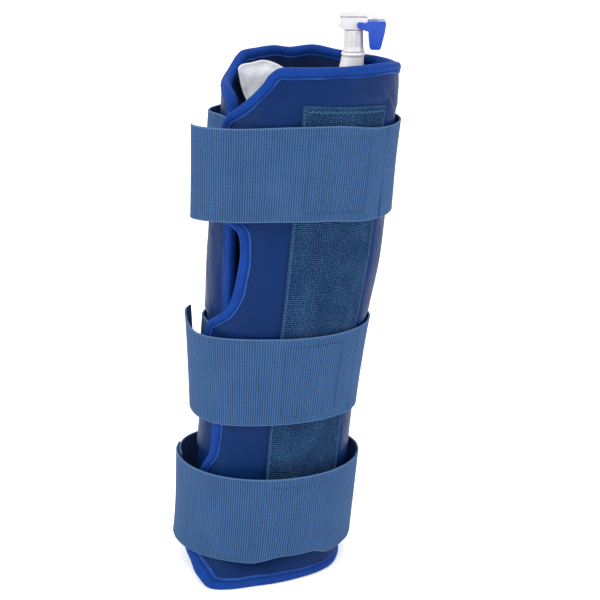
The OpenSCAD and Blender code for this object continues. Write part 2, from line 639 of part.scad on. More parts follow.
back_outer_shell();
back_foam_pad();
back_bladder();
bladder_lobe();
back_inner_liner();
back_edge_binding();
upper_strap_base();
middle_strap_base();
lower_strap_base();
strap_base_stitching();
front_outer_shell();
front_foam_pad();
front_bladder();
front_inner_liner();
front_edge_binding();
loop_landing_strip();
landing_strip_stitching();
upper_strap_bridge();
middle_strap_bridge();
lower_strap_bridge();
upper_strap();
upper_hook_patch();
upper_strap_stitching();
middle_strap();
middle_hook_patch();
middle_strap_stitching();
lower_strap();
lower_hook_patch();
lower_strap_stitching();
spout_elbow();
spout_skirt();
collar_nut();
valve_body();
valve_head();
valve_cap();
cap_screws();
trigger_pin();
trigger_lever();
valve_stem();
stem_o_ring();
valve_spring();
hose_spigot();
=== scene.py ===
"""A padded inflatable sleeve, wrapped into an upright tapering tube and closed by three straps.

The tube stands along +Z with its foot near Z = 0. A place on it is an angle in degrees (0 at
the front, -Y; 90 at +X; 180 at the back, +Y), a height and an offset outwards from its surface.
The sleeve runs from its free edge, at the front on the -X side, round by +X and the back to its
back edge, which lies under the free flap. Sizes are in mm until build_mesh turns them to metres.
"""
import bmesh
import bpy
import json
import math
from collections import namedtuple
import numpy as np
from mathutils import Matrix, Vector


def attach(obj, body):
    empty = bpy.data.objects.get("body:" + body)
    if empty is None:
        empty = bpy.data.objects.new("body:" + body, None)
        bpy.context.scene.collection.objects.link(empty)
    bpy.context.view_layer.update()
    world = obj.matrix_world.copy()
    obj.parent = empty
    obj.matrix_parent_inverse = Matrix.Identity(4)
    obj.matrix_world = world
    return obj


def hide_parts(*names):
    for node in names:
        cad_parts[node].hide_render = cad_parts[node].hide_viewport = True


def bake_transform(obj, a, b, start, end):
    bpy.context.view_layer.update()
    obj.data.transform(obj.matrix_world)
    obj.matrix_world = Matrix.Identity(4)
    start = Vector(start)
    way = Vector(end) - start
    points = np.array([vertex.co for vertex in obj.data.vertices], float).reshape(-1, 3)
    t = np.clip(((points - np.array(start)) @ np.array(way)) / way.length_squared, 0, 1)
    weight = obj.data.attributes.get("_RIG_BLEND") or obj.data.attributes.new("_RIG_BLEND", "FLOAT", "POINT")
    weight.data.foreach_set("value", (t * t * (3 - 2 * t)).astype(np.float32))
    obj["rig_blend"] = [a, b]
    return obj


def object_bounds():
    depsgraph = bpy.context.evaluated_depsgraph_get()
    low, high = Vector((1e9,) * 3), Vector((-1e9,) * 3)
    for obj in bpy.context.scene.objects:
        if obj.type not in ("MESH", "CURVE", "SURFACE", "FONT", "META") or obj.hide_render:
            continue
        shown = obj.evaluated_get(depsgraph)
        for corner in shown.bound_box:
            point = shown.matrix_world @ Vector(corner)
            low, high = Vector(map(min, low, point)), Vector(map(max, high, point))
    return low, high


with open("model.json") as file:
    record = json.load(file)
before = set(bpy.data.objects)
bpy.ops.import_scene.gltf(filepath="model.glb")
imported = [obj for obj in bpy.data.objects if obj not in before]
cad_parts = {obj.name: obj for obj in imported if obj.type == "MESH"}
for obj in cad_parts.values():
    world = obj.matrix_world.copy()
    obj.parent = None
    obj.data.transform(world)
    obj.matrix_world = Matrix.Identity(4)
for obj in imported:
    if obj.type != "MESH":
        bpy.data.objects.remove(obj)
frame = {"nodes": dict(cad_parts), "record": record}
CAD_BOX = [list(map(float, v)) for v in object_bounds()]
RNG = np.random.default_rng(7)
MM = 0.001
RADIANS = math.pi / 180
TURN = 6.28                       # about one turn in radians, for ripples

# ---------------------------------------------------------------- driving sizes
SLEEVE_H = 430.0
SHELL_T, FOAM_T, LINER_T, LAYER_GAP = 1.0, 2.4, 0.8, 0.5
EDGE_T = SHELL_T + FOAM_T + LINER_T + 2 * LAYER_GAP
BLADDER_T = 3.2
OVERLAP, FLARE = 10.4, 26.0       # how far the flap stands out: over the back edge, and at the foot
STRAP_W, STRAP_T = 75.0, 1.8
MIDDLE_Y = -54.4                  # Y of the tube's middle
DEPTH_RATIO = 0.88                # the tube's depth as a share of its width
LOWER_Z, MIDDLE_Z, UPPER_Z = 57.5, 173.5, 344.5
STRIP_A0, STRIP_A1, STRIP_Z0, STRIP_Z1 = -4.0, 57.0, 40.0, 400.0    # landing strip
MM_PER_DEG = 1.13                 # along the surface
SIDE_ANGLE = 90.0                 # the +X side, where the flap begins
SPLIT = 225.0                     # where the bending panel meets the one that stays at the back
TAPE_EXTRA = -.7                  # added to the width of the binding's profile


# ---------------------------------------------------------------- the tube's surface
def bell(z, middle, width):
    return np.exp(-((z - middle) / width) ** 2)


def x_right(z):
    return 64.75 + 0.119 * z + 2.8 * bell(z, 285, 55) - 3.2 * bell(z, 150, 75) - 3 * bell(z, 440, 30)


def x_left(z):
    return -60.75 + 0.08 * z - 4 * bell(z, 0, 35) - 2.2 * bell(z, 285, 40)


def centre_x(z):
    return (x_right(z) + x_left(z)) / 2


def half_width(z):
    return (x_right(z) - x_left(z)) / 2


def half_depth(z):
    return DEPTH_RATIO * half_width(z)


def ease(t):
    """Smoothstep from 0 to 1."""
    u = np.clip(t, 0, 1)
    return u * u * (3 - 2 * u)


def smooth_curve(table):
    """Monotone cubic through rows of (x, y), held level beyond its ends."""
    x, y = np.array(table, float).T
    h, d = np.diff(x), np.diff(y) / np.diff(x)
    m = np.zeros_like(y)
    for i in range(1, len(x) - 1):
        if d[i - 1] * d[i] > 0:
            w1, w2 = 2 * h[i] + h[i - 1], h[i] + 2 * h[i - 1]
            m[i] = (w1 + w2) / (w1 / d[i - 1] + w2 / d[i])
    m[0], m[-1] = d[0], d[-1]

    def curve(t):
        t = np.clip(np.asarray(t, float), x[0], x[-1])
        i = np.clip(np.searchsorted(x, t, side="right") - 1, 0, len(x) - 2)
        s = (t - x[i]) / h[i]
        return (y[i] * (1 + 2 * s) * (1 - s) ** 2 + m[i] * h[i] * s * (1 - s) ** 2
                + y[i + 1] * s * s * (3 - 2 * s) + m[i + 1] * h[i] * s * s * (s - 1))
    return curve


# (angle, share of FLARE)
flare_share = smooth_curve([
    [-90, 0], [-70, 0], [-50, .38], [-35, .85], [-22, 1], [0, .65], [27, .38], [53, .3],
    [74, .11], [90, 0]])
# (angle, how far the mouth's rim drops)
rim_drop = smooth_curve([
    [-120, 0], [45, 0], [70, 1.8], [88, 4.4], [102, 6], [118, 5.6], [142, 5], [161, 2.8],
    [180, -.8], [195, .9], [208, -1.2], [226, -.3], [240, 0], [360, 0]])
# (height, angle) of the free edge
free_edge = smooth_curve([
    [0, -23.5], [2, -27], [6, -32], [9, -37.5], [12.5, -45], [16, -56], [22, -69], [32, -78],
    [50, -82], [66, -80], [77, -72], [84, -60], [89, -53.7], [95, -51.2], [102, -47.5],
    [113, -43.8], [131, -43.4], [139, -44.2], [148, -49], [156, -58], [164, -70], [173, -79],
    [188, -80.5], [197, -74], [205, -62], [212, -58], [219, -56.6], [226.4, -48.3],
    [230.5, -43.6], [236, -39.8], [242, -37.5], [257, -35], [281, -33.1], [289, -33.6],
    [298, -35.1], [302, -37.5], [307, -46], [314, -59], [324, -68], [345, -72], [362, -71],
    [371, -65], [379, -57], [388, -53.5], [398, -43], [405, -36.9], [412, -31.8],
    [418, -27.9], [424, -25.3], [430, -19.5]])
# (height, angle) of the back edge
back_edge = smooth_curve([
    [0, 300], [3, 306.5], [8, 311.5], [16, 315], [30, 317], [52, 317.5], [70, 316.5],
    [88, 312], [100, 310.6], [125, 310.6], [142, 313.5], [162, 316.2], [183, 315.6],
    [233, 314], [275, 312.5], [312, 309.4], [345, 305.4], [370, 303], [391, 301], [398, 299],
    [403, 295], [406, 290], [409, 280], [412, 264], [417, 251], [421, 246], [425, 241.5],
    [430, 234]])


def tube_point(a, z, out):
    a, z, out = np.broadcast_arrays(np.asarray(a, float), np.asarray(z, float),
                                    np.asarray(out, float))
    r = a * RADIANS
    return np.stack([centre_x(z) + (half_width(z) + out) * np.sin(r),
                     -(half_depth(z) + out) * np.cos(r),
                     z - rim_drop(a) * ease((z - 370) / 60)], -1)


def flap_lift(a, z):
    flare = np.where(np.asarray(a) < SIDE_ANGLE, FLARE * flare_share(a), 0)
    return OVERLAP * ease(-np.asarray(a) / 50) + flare * np.exp(-(np.asarray(z) / 17) ** 2)


def sleeve_point(a, z, out):
    return tube_point(a, z, flap_lift(a, z) + out)


WAVES = [(RNG.normal(size=2), RNG.uniform(0, 6.28)) for _ in range(14)]


def waves(x, y, length_x, length_y, count):
    """Smooth repeatable noise: a sum of the first count waves."""
    total = 0
    for d, phase in WAVES[:count]:
        total = total + np.sin(d[0] * x * TURN / length_x + d[1] * y * TURN / length_y + phase)
    return total / math.sqrt(count / 2)


# ---------------------------------------------------------------- mesh helpers
def build_mesh(name, verts, faces, uvs, materials, material_index=None):
    """An object from points in mm. faces: arrays of vertex numbers, one row a face."""
    me = bpy.data.meshes.new(name)
    verts = (np.asarray(verts, np.float64) + np.array([0, MIDDLE_Y, 0])) * MM
    me.vertices.add(len(verts))
    me.vertices.foreach_set("co", verts.astype(np.float32).ravel())
    sizes = np.concatenate([np.full(len(f), f.shape[1]) for f in faces])
    loops = np.concatenate([f.ravel() for f in faces])
    me.loops.add(len(loops))
    me.loops.foreach_set("vertex_index", loops.astype(np.int32))
    me.polygons.add(len(sizes))
    starts = np.concatenate([[0], np.cumsum(sizes)[:-1]])
    me.polygons.foreach_set("loop_start", starts.astype(np.int32))
    me.polygons.foreach_set("use_smooth", np.full(len(sizes), True))
    if material_index is not None:
        me.polygons.foreach_set("material_index", np.asarray(material_index, np.int32))
    me.update(calc_edges=True)
    if uvs is not None:
        layer = me.uv_layers.new(name="UVMap")
        layer.data.foreach_set("uv", np.asarray(uvs, np.float32)[loops].ravel())
    me.validate()
    o = bpy.data.objects.new(name, me)
    bpy.context.scene.collection.objects.link(o)
    for m in materials:
        me.materials.append(m)
    return o


def ring_faces(n, k, flip=False):
    """Quads joining n closed rings of k points."""
    i, j = np.meshgrid(np.arange(n - 1), np.arange(k), indexing="ij")
    a, b = i * k + j, i * k + (j + 1) % k
    c, d = (i + 1) * k + (j + 1) % k, (i + 1) * k + j
    quads = np.stack([a, b, c, d], -1).reshape(-1, 4)
    return quads[:, ::-1] if flip else quads


def end_quads(n, k, side_count, last):
    """Quads across the first and last of n rings; last is the ring index facing index 0."""
    j = np.arange(side_count - 1)
    first = np.stack([j + 1, j, last - j, last - 1 - j], -1)
    return [first, first[:, ::-1] + (n - 1) * k]


def sweep(name, rings, uv, material, flip=False):
    """A closed outline carried along a path, with a fan of triangles at each end."""
    rings, uv = np.array(rings), np.array(uv)
    n, k = rings.shape[:2]
    quads = ring_faces(n, k, flip)
    verts = np.vstack([rings.reshape(-1, 3), rings[0].mean(0), rings[-1].mean(0)])
    uvs = np.vstack([uv.reshape(-1, 2), uv[0].mean(0), uv[-1].mean(0)])
    j = np.arange(k)
    following = (j + 1) % k
    start = np.stack([following, j, np.full(k, n * k)], -1)
    end = np.stack([(n - 1) * k + j, (n - 1) * k + following, np.full(k, n * k + 1)], -1)
    if flip:
        start, end = start[:, ::-1], end[:, ::-1]
    return build_mesh(name, verts, [quads, start, end], uvs, [material],
                      np.zeros(len(quads) + 2 * k, int))


def thin_sheet(name, outer, inner, uv, material):
    """A closed sheet between two grids of points."""
    rings = np.concatenate([outer, inner[:, ::-1]], 1)
    uvs = np.concatenate([uv, uv[:, ::-1]], 1)
    n, k = rings.shape[:2]
    count = outer.shape[1]
    faces = [ring_faces(n, k), *end_quads(n, k, count, 2 * count - 1)]
    return build_mesh(name, rings.reshape(-1, 3), faces, uvs.reshape(-1, 2), [material])


def lengths(steps):
    return np.concatenate([[0], np.cumsum(steps)])


def interp_rows(s, at, points):
    return np.stack([np.interp(s, at, column) for column in points.T], -1)


def resample(points, steps, step):
    """Points evenly spaced along a path, and their distances; steps: its segments' lengths."""
    at = lengths(steps)
    s = np.linspace(0, at[-1], int(at[-1] / step) + 1)
    return interp_rows(s, at, points), s


def stitch_ends(points, step, gap):
    """Stitches along a polyline: where they start and end, and the middles as a share of it."""
    at = lengths(np.linalg.norm(np.diff(points, axis=0), axis=1))
    s0 = np.arange(0.0, at[-1] - step, step)
    s1 = s0 + step - gap
    return interp_rows(s0, at, points), interp_rows(s1, at, points), (s0 + s1) / 2 / at[-1]


def outward(starts, ends):
    """Unit normals of the tube at the middles of stitches."""
    middle = (starts + ends) / 2
    z = middle[:, 2]
    normal = middle - np.stack([centre_x(z), np.zeros(len(z)), z], -1)
    normal[:, 1] /= DEPTH_RATIO ** 2
    return normal / np.linalg.norm(normal, axis=1, keepdims=True)


def stitches(name, starts, ends, normals, material, radius, lift):
    """Thread from each start to each end, bowed out along its normal."""
    segments, sides = 5, 6
    m = len(starts)
    t = np.linspace(0, 1, segments)
    centres = (starts[:, None] + (ends - starts)[:, None] * t[None, :, None]
               + normals[:, None] * (lift * np.sin(np.pi * t) - 0.05)[None, :, None])
    tangent = (ends - starts) / np.linalg.norm(ends - starts, axis=1, keepdims=True)
    across = np.cross(tangent, normals)
    radii = radius * np.sqrt(np.clip(1 - (2 * t - 1) ** 4 * 0.85, 0, 1))
    angle = np.arange(sides) * 2 * np.pi / sides
    ring = centres[:, :, None] + radii[None, :, None, None] * (
        np.cos(angle)[None, None, :, None] * across[:, None, None]
        + np.sin(angle)[None, None, :, None] * normals[:, None, None])
    verts = ring.reshape(-1, 3)
    offsets = (np.arange(m) * segments * sides)[:, None, None]
    quads = (ring_faces(segments, sides)[None] + offsets).reshape(-1, 4)
    j = np.arange(sides)
    caps = np.stack([j[::-1], (segments - 1) * sides + j], 0)
    caps = (caps[None] + offsets).reshape(-1, sides)
    uv = np.zeros((len(verts), 2))
    uv[:, 0] = np.repeat(np.arange(m), segments * sides)
    return build_mesh(name, verts, [quads, caps], uv, [material])


# ---------------------------------------------------------------- shader helpers
def srgb(*c):
    c = np.array(c, float) / 255
    return tuple(np.where(c <= .04045, c / 12.92, ((c + .055) / 1.055) ** 2.4)) + (1.0,)


def shade(c, k):
    return (c[0] * k, c[1] * k, c[2] * k, 1)


class Shader:
    """A material with short ways to add nodes. U and V of the maps are in mm."""

    def __init__(self, name):
        self.material = bpy.data.materials.new(name)
        self.material.use_nodes = True
        self.tree = self.material.node_tree
        self.bsdf = self.tree.nodes["Principled BSDF"]
        self.uv = None

    def put(self, socket, value):
        if hasattr(value, "node"):
            self.tree.links.new(value, socket)
        else:
            socket.default_value = value

    def node(self, kind, inputs={}, **settings):
        x = self.tree.nodes.new("ShaderNode" + kind)
        for key, value in settings.items():
            setattr(x, key, value)
        for key, value in inputs.items():
            self.put(x.inputs[key], value)
        return x

    def math(self, operation, a, b=0.0, clamp=False):
        return self.node("Math", {0: a, 1: b}, operation=operation, use_clamp=clamp).outputs[0]

    def add(self, a, b, clamp=False):
        return self.math("ADD", a, b, clamp)

    def sub(self, a, b):
        return self.math("SUBTRACT", a, b)

    def mul(self, a, b):
        return self.math("MULTIPLY", a, b)

    def swing(self, value, amount, middle=.5):
        """A value's distance from its middle, scaled."""
        return self.mul(self.sub(value, middle), amount)

    def total(self, *terms, base=.5):
        """The sum of the terms and a base level, clamped to 0..1."""
        out = terms[0]
        for term in terms[1:]:
            out = self.add(out, term)
        return self.add(out, base, clamp=True)

    def uvs(self):
        if self.uv is None:
            uv_map = self.node("UVMap", uv_map="UVMap")
            split = self.node("SeparateXYZ", {"Vector": uv_map.outputs[0]})
            self.uv = split.outputs[0], split.outputs[1]
        return self.uv

    def obj(self):
        return self.node("TexCoord").outputs["Object"]

    def vec(self, x, y, z=0.0):
        return self.node("CombineXYZ", {"X": x, "Y": y, "Z": z}).outputs[0]

    def noise(self, vector, scale, detail=3.0, rough=0.5):
        return self.node("TexNoise", {"Vector": vector, "Scale": scale, "Detail": detail,
                                      "Roughness": rough}).outputs[0]

    def uv_noise(self, u, v, seed=0.0, scale=1.0, detail=3.0, rough=.5, across=None):
        """Noise over the UV map, u and v being frequencies; across stands in for U."""
        map_u, map_v = self.uvs()
        vector = self.vec(self.mul(map_u if across is None else across, u),
                          self.mul(map_v, v), seed)
        return self.noise(vector, scale, detail, rough)

    def sine(self, x, pitch, phase=0.0):
        return self.math("SINE", self.add(self.mul(x, 2 * math.pi / pitch), phase))

    def mix(self, factor, a, b):
        return self.node("Mix", {0: factor, 6: a, 7: b}, data_type="RGBA").outputs[2]

    def ramp(self, factor, stops):
        x = self.node("ValToRGB", {"Fac": factor})
        elements = x.color_ramp.elements
        while len(elements) < len(stops):
            elements.new(0.5)
        for element, (position, colour) in zip(elements, stops):
            element.position = position
            element.color = colour
        return x.outputs[0]

    def step(self, value, start, end, low=0.0, high=1.0):
        """Smoothstep from low at start to high at end."""
        return self.node("MapRange", {"Value": value, "From Min": start, "From Max": end,
                                      "To Min": low, "To Max": high},
                         interpolation_type="SMOOTHSTEP").outputs[0]

    def bump(self, height, distance, strength=1.0, under=None):
        x = self.node("Bump", {"Height": height, "Distance": distance, "Strength": strength})
        if under is not None:
            self.put(x.inputs["Normal"], under)
        return x.outputs[0]

    def finish(self, **inputs):
        for key, value in inputs.items():
            self.put(self.bsdf.inputs[key.replace("_", " ")], value)
        return self.material


# ---------------------------------------------------------------- materials
WEBBING_BLUE = (.0275, .0705, .1690, 1)
NAVY = (.0004, .0168, .0860, 1)
LINER_NAVY = (.0035, .0125, .05, 1)
ROYAL = (.0012, .0335, .2080, 1)


def webbing():
    m = Shader("webbing")
    u, v = m.uvs()
    jitter = m.swing(m.uv_noise(u=.03, v=.03, scale=2.0), amount=1.1)
    across = m.add(u, jitter)
    rib = m.sine(across, pitch=1.95)
    half_rib = m.sine(across, pitch=.95, phase=1.0)
    pick = m.sine(m.add(v, m.mul(rib, .25)), pitch=1.5)
    streak = m.uv_noise(u=.55, v=.016, seed=3.0, detail=2.0, rough=.6, across=across)
    broken = m.uv_noise(u=.8, v=.5, seed=8.0, detail=2.0, rough=.6, across=across)
    cloud = m.uv_noise(u=.03, v=.05, seed=1.0, detail=2.0)
    tone = m.total(m.mul(rib, .46), m.mul(half_rib, .08),
                   m.mul(m.mul(pick, m.add(rib, .6)), .26),
                   m.swing(streak, amount=.45), m.swing(broken, amount=.8),
                   m.swing(cloud, amount=.35))
    colour = m.mix(tone, shade(WEBBING_BLUE, .48), shade(WEBBING_BLUE, 1.62))
    # paler selvedges
    from_middle = m.math("ABSOLUTE", m.sub(v, STRAP_W / 2))
    selvedge = m.step(from_middle, start=36.3, end=37.0)
    colour = m.mix(m.mul(selvedge, .6), colour, srgb(84, 112, 150))
    height = m.add(m.mul(rib, .6), m.mul(pick, .2))
    height = m.add(height, m.mul(broken, .6))
    return m.finish(Base_Color=colour, Roughness=.8,
                    Normal=m.bump(height, distance=.00024, strength=.7),
                    Sheen_Weight=.06, Sheen_Roughness=.45, Sheen_Tint=srgb(120, 150, 200),
                    Specular_IOR_Level=.1)


def nylon(name, colour, rough, sheen):
    m = Shader(name)
    u, v = m.uvs()
    weave = m.mul(m.sine(m.add(u, v), pitch=1.0), m.sine(m.sub(u, v), pitch=1.0))
    large = m.uv_noise(u=.018, v=.012, seed=2.0, rough=.55)
    medium = m.uv_noise(u=.16, v=.05, seed=5.0, rough=.55)
    tone = m.total(m.swing(large, amount=.8), m.mul(weave, .07), m.swing(medium, amount=.3))
    colour = m.mix(tone, shade(colour, .72), shade(colour, 1.32))
    normal = m.bump(weave, distance=.00006, strength=.5)
    normal = m.bump(medium, distance=.0011, strength=.5, under=normal)
    return m.finish(Base_Color=colour, Roughness=m.add(rough, m.swing(large, amount=.18)),
                    Normal=normal, Sheen_Weight=sheen, Sheen_Roughness=.5,
                    Sheen_Tint=srgb(70, 110, 200), Specular_IOR_Level=.1)


def binding_tape():
    m = Shader("binding_blue")
    u, v = m.uvs()
    rib = m.sine(m.add(u, m.mul(m.uv_noise(u=.05, v=.1, seed=6.0), .8)), pitch=1.7)
    fine = m.uv_noise(u=.6, v=.3, seed=1.0, rough=.6)
    cloud = m.uv_noise(u=.05, v=.1, seed=4.0, detail=2.0)
    tone = m.total(m.mul(rib, .15), m.swing(fine, amount=1.0), m.swing(cloud, amount=.8))
    colour = m.mix(tone, shade(ROYAL, .62), shade(ROYAL, 1.42))
    # painted shade: the stitched groove is darkened for the shade in it, then a painted highlight on the
    # raised inner fold
    # painted shade mask: the band of the stitched groove, darkened towards shade(ROYAL, .36)
    groove = m.mul(m.step(v, start=5.3 + TAPE_EXTRA, end=5.9 + TAPE_EXTRA),
                   m.step(v, start=7.0 + TAPE_EXTRA, end=6.4 + TAPE_EXTRA))
    colour = m.mix(m.mul(groove, .6), colour, shade(ROYAL, .36))
    # painted highlight: a paler, patchy band along the raised inner fold, where light catches it
    pale = m.mul(m.step(v, start=6.8 + TAPE_EXTRA, end=7.3 + TAPE_EXTRA),
                 m.step(v, start=9.2 + TAPE_EXTRA, end=8.8 + TAPE_EXTRA))
    patchy_highlight = m.step(cloud, start=.35, end=.65, low=.08, high=.5)
    colour = m.mix(m.mul(pale, patchy_highlight), colour, srgb(52, 88, 160))
    height = m.add(m.mul(rib, .6), fine)
    return m.finish(Base_Color=colour, Roughness=.66,
                    Normal=m.bump(height, distance=.00032, strength=.7),
                    Sheen_Weight=.1, Sheen_Roughness=.4, Sheen_Tint=srgb(80, 130, 230),
                    Specular_IOR_Level=.12)


def loop_tape():
    m = Shader("loop_tape")
    u, v = m.uvs()
    rows = m.sine(m.add(u, m.mul(m.sine(v, pitch=3.4), .2)), pitch=1.75)
    grid = m.add(rows, m.sine(v, pitch=1.7))
    cells = m.node("TexVoronoi", {"Vector": m.vec(m.mul(u, .6), m.mul(v, .55)),
                                  "Scale": 1.0, "Randomness": .4}, feature="F1").outputs[0]
    fine = m.uv_noise(u=.9, v=.9, seed=2.0, detail=4.0, rough=.65)
    cloud = m.uv_noise(u=.05, v=.04, seed=2.0, detail=2.0)
    tone = m.total(m.mul(grid, .15), m.swing(cells, amount=.5, middle=.42),
                   m.swing(fine, amount=1.7), m.swing(cloud, amount=.5), base=.46)
    colour = m.ramp(tone, [(0, (.0008, .0055, .022, 1)), (.42, (.0062, .0245, .078, 1)),
                           (.72, (.018, .058, .135, 1)), (1, (.06, .14, .24, 1))])
    # flat border round the pile
    in_u = m.math("MINIMUM", m.sub(u, STRIP_A0 * MM_PER_DEG), m.sub(STRIP_A1 * MM_PER_DEG, u))
    in_v = m.math("MINIMUM", m.sub(v, STRIP_Z0), m.sub(STRIP_Z1, v))
    border = m.step(m.math("MINIMUM", in_u, in_v), start=1.7, end=.9)
    colour = m.mix(m.mul(border, .4), colour, (.03, .085, .17, 1))
    height = m.add(m.mul(grid, .25), m.add(cells, m.mul(fine, .8)))
    return m.finish(Base_Color=colour, Roughness=.88,
                    Normal=m.bump(height, distance=.0006, strength=.7),
                    Sheen_Weight=.08, Sheen_Roughness=.5, Sheen_Tint=srgb(90, 130, 190),
                    Specular_IOR_Level=.08)


def hook_tape():
    m = Shader("hook_tape")
    u, v = m.uvs()
    dots = m.mul(m.sine(u, pitch=1.3), m.sine(v, pitch=1.3))
    tone = m.add(m.mul(dots, .4), m.uv_noise(u=.8, v=.8), clamp=True)
    normal = m.bump(m.math("ABSOLUTE", dots), distance=.0006, strength=.9)
    return m.finish(Base_Color=m.mix(tone, srgb(18, 40, 74), srgb(74, 108, 150)),
                    Roughness=.5, Normal=normal)


def thread(name, dark, light):
    m = Shader(name)
    place = m.obj()
    speckle = m.noise(place, scale=1400.0, detail=2.0)
    twist = m.node("TexWave", {"Vector": place, "Scale": 900.0, "Distortion": 1.0}).outputs[1]
    return m.finish(Base_Color=m.mix(speckle, dark, light), Roughness=.75,
                    Normal=m.bump(twist, distance=.0001, strength=.6), Sheen_Weight=.02,
                    Specular_IOR_Level=.08)


def plastic(name, colours, scales, rough, bump, **rest):
    """scales: cloud and grain noise; rough: least and spread; bump: distance and strength."""
    m = Shader(name)
    place = m.obj()
    cloud = m.noise(place, scale=scales[0])
    grain = m.noise(place, scale=scales[1], detail=2.0)
    return m.finish(Base_Color=m.mix(cloud, *colours),
                    Roughness=m.add(rough[0], m.mul(cloud, rough[1])),
                    Normal=m.bump(grain, *bump), **rest)


def steel():
    m = Shader("steel")
    cloud = m.noise(m.obj(), scale=800.0)
    return m.finish(Base_Color=m.mix(cloud, (.45, .45, .47, 1), (.7, .7, .72, 1)),
                    Metallic=1.0, Roughness=m.add(.22, m.mul(cloud, .2)))


def rubber():
    m = Shader("seal_rubber")
    cloud = m.noise(m.obj(), scale=600.0)
    return m.finish(Base_Color=m.mix(cloud, (.012, .012, .013, 1), (.03, .03, .032, 1)),
                    Roughness=.6, Normal=m.bump(cloud, distance=.0001, strength=.4))


def film():
    m = Shader("bladder_film")
    wrinkle = m.uv_noise(u=.06, v=.09, seed=1.0, detail=4.0, rough=.55)
    grain = m.uv_noise(u=.8, v=.8, seed=1.0, detail=2.0)
    normal = m.bump(wrinkle, distance=.0025, strength=.6)
    return m.finish(Base_Color=m.mix(wrinkle, srgb(216, 218, 228), srgb(248, 248, 252)),
                    Roughness=.38,
                    Normal=m.bump(grain, distance=.0001, strength=.3, under=normal),
                    Subsurface_Weight=.3, Subsurface_Radius=(.004, .004, .004),
                    # painted light: a faint emission glow brightens the film inside the shaded mouth
                    Specular_IOR_Level=.5, Emission_Color=(.9, .92, 1, 1),
                    Emission_Strength=.09)


WEBBING = webbing()
NYLON = nylon("nylon_navy", NAVY, rough=.46, sheen=.02)
LINER = nylon("liner", LINER_NAVY, rough=.7, sheen=.03)
BINDING, LOOP, HOOK = binding_tape(), loop_tape(), hook_tape()
THREAD_LIGHT = thread("thread_light", dark=(.028, .110, .20, 1), light=(.075, .215, .32, 1))
THREAD_WEB = thread("thread_web", dark=(.020, .054, .130, 1), light=(.028, .072, .165, 1))
THREAD_BINDING = thread("thread_binding", dark=(.003, .022, .13, 1), light=(.010, .048, .21, 1))
WHITE = plastic("white_plastic", colours=(srgb(216, 214, 217), srgb(231, 229, 232)),
                scales=(90.0, 1500.0), rough=(.26, .14), bump=(.00004, .35),
                Subsurface_Weight=.25, Subsurface_Radius=(.004, .004, .004),
                Subsurface_Scale=.4, Specular_IOR_Level=.5, Coat_Weight=.15,
                Coat_Roughness=.2)
BLUE = plastic("blue_plastic", colours=((.008, .056, .42, 1), (.016, .082, .55, 1)),
               scales=(110.0, 1600.0), rough=(.28, .15), bump=(.00005, .4),
               Subsurface_Weight=.1, Subsurface_Radius=(.001, .001, .003),
               Coat_Weight=.2, Coat_Roughness=.2)
STEEL, RUBBER, FILM = steel(), rubber(), film()


# ---------------------------------------------------------------- padded panels
def strap_mask(z):
    """1 at the height of a strap, 0 well away from all three."""
    mask = 0
    for middle in (LOWER_Z, MIDDLE_Z + 4, UPPER_Z + 5):
        mask = np.maximum(mask, ease((STRAP_W / 2 + 7 - np.abs(z - middle)) / 6.0))
    return mask


def edge_distance(a, z):
    """Rough distance in mm from the sleeve's outline."""
    free_slope = (free_edge(z + .5) - free_edge(z - .5)) * MM_PER_DEG
    back_slope = (back_edge(z + .5) - back_edge(z - .5)) * MM_PER_DEG
    d = np.where(a < SIDE_ANGLE,
                 (a - free_edge(z)) * MM_PER_DEG / np.sqrt(1 + free_slope ** 2),
                 (back_edge(z) - a) * MM_PER_DEG / np.sqrt(1 + back_slope ** 2))
    d = np.where((a > 40) & (a < 200), 99, d)
    return np.minimum(np.minimum(z, SLEEVE_H - z), d)


def crumple(a, z):
    """Soft waves, a fan of creases below the mouth, a fold low at the front, fine creases."""
    s = a * MM_PER_DEG
    soft = 0.62 * waves(s, z, 95, 150, 9) + 0.3 * waves(s + 40, z + 10, 42, 70, 11)
    t = (s - 78) * .62 + (z - 405) * .78
    fan = np.exp(-((s - 70) / 26) ** 2 - ((z - 396) / 26) ** 2)
    soft = (soft + .95 * fan * np.sin(t / 3.1 + 1.2 * np.sin(s / 13))
            + .45 * fan * np.sin(t / 1.7 + s / 9))
    fold = np.exp(-((s - 18 + .5 * (z - 96)) / 16) ** 2 - ((z - 102) / 22) ** 2)
    soft = soft + .8 * fold * np.sin(((s - 10) * .5 + (z - 100) * .86) / 3.6)
    r = waves(s + 200, z - 90, 30, 90, 10)
    patches = ease((waves(s, z + 300, 120, 120, 6) - 0.2) / 0.8)
    return soft + -0.5 * np.exp(-(r / 0.22) ** 2) * patches


def puff_out(a, z):
    """How far the outer face stands out."""
    d = edge_distance(a, z) - (7.4 + TAPE_EXTRA)
    rise = 2.0 * (1 - np.exp(-np.clip(d, 0, None) / 9.0)) - 0.15
    creases = crumple(a, z) * ease(np.clip(d, 0, 20) / 12)
    near_end = np.minimum(z, SLEEVE_H - z) < 24
    pucker = 0.22 * np.exp(-np.clip(d, 0, None) / 5.0) * np.where(
        near_end, np.sin(a * MM_PER_DEG * TURN / 8.5 + 1.5 * np.sin(a / 9)),
        np.sin(z * TURN / 8.0 + 1.5 * np.sin(z / 13)))
    out = rise + creases + pucker
    # flat under the landing strip, calmer at the +X side, pressed flat under the straps
    strip = (ease((a - (STRIP_A0 - 5)) / 5) * ease(((STRIP_A1 + 5) - a) / 5)
             * ease((z - (STRIP_Z0 - 5)) / 6) * ease(((STRIP_Z1 + 5) - z) / 6))
    out = out * (1 - strip) + 0.15 * strip
    out = out * (1 - .55 * np.exp(-((a - SIDE_ANGLE) / 34) ** 2))
    pressed = strap_mask(z) * ease((a - 70) / 14)
    out = out * (1 - pressed) + np.minimum(out, 0.25) * pressed
    return np.clip(out, -0.8, 3.0)


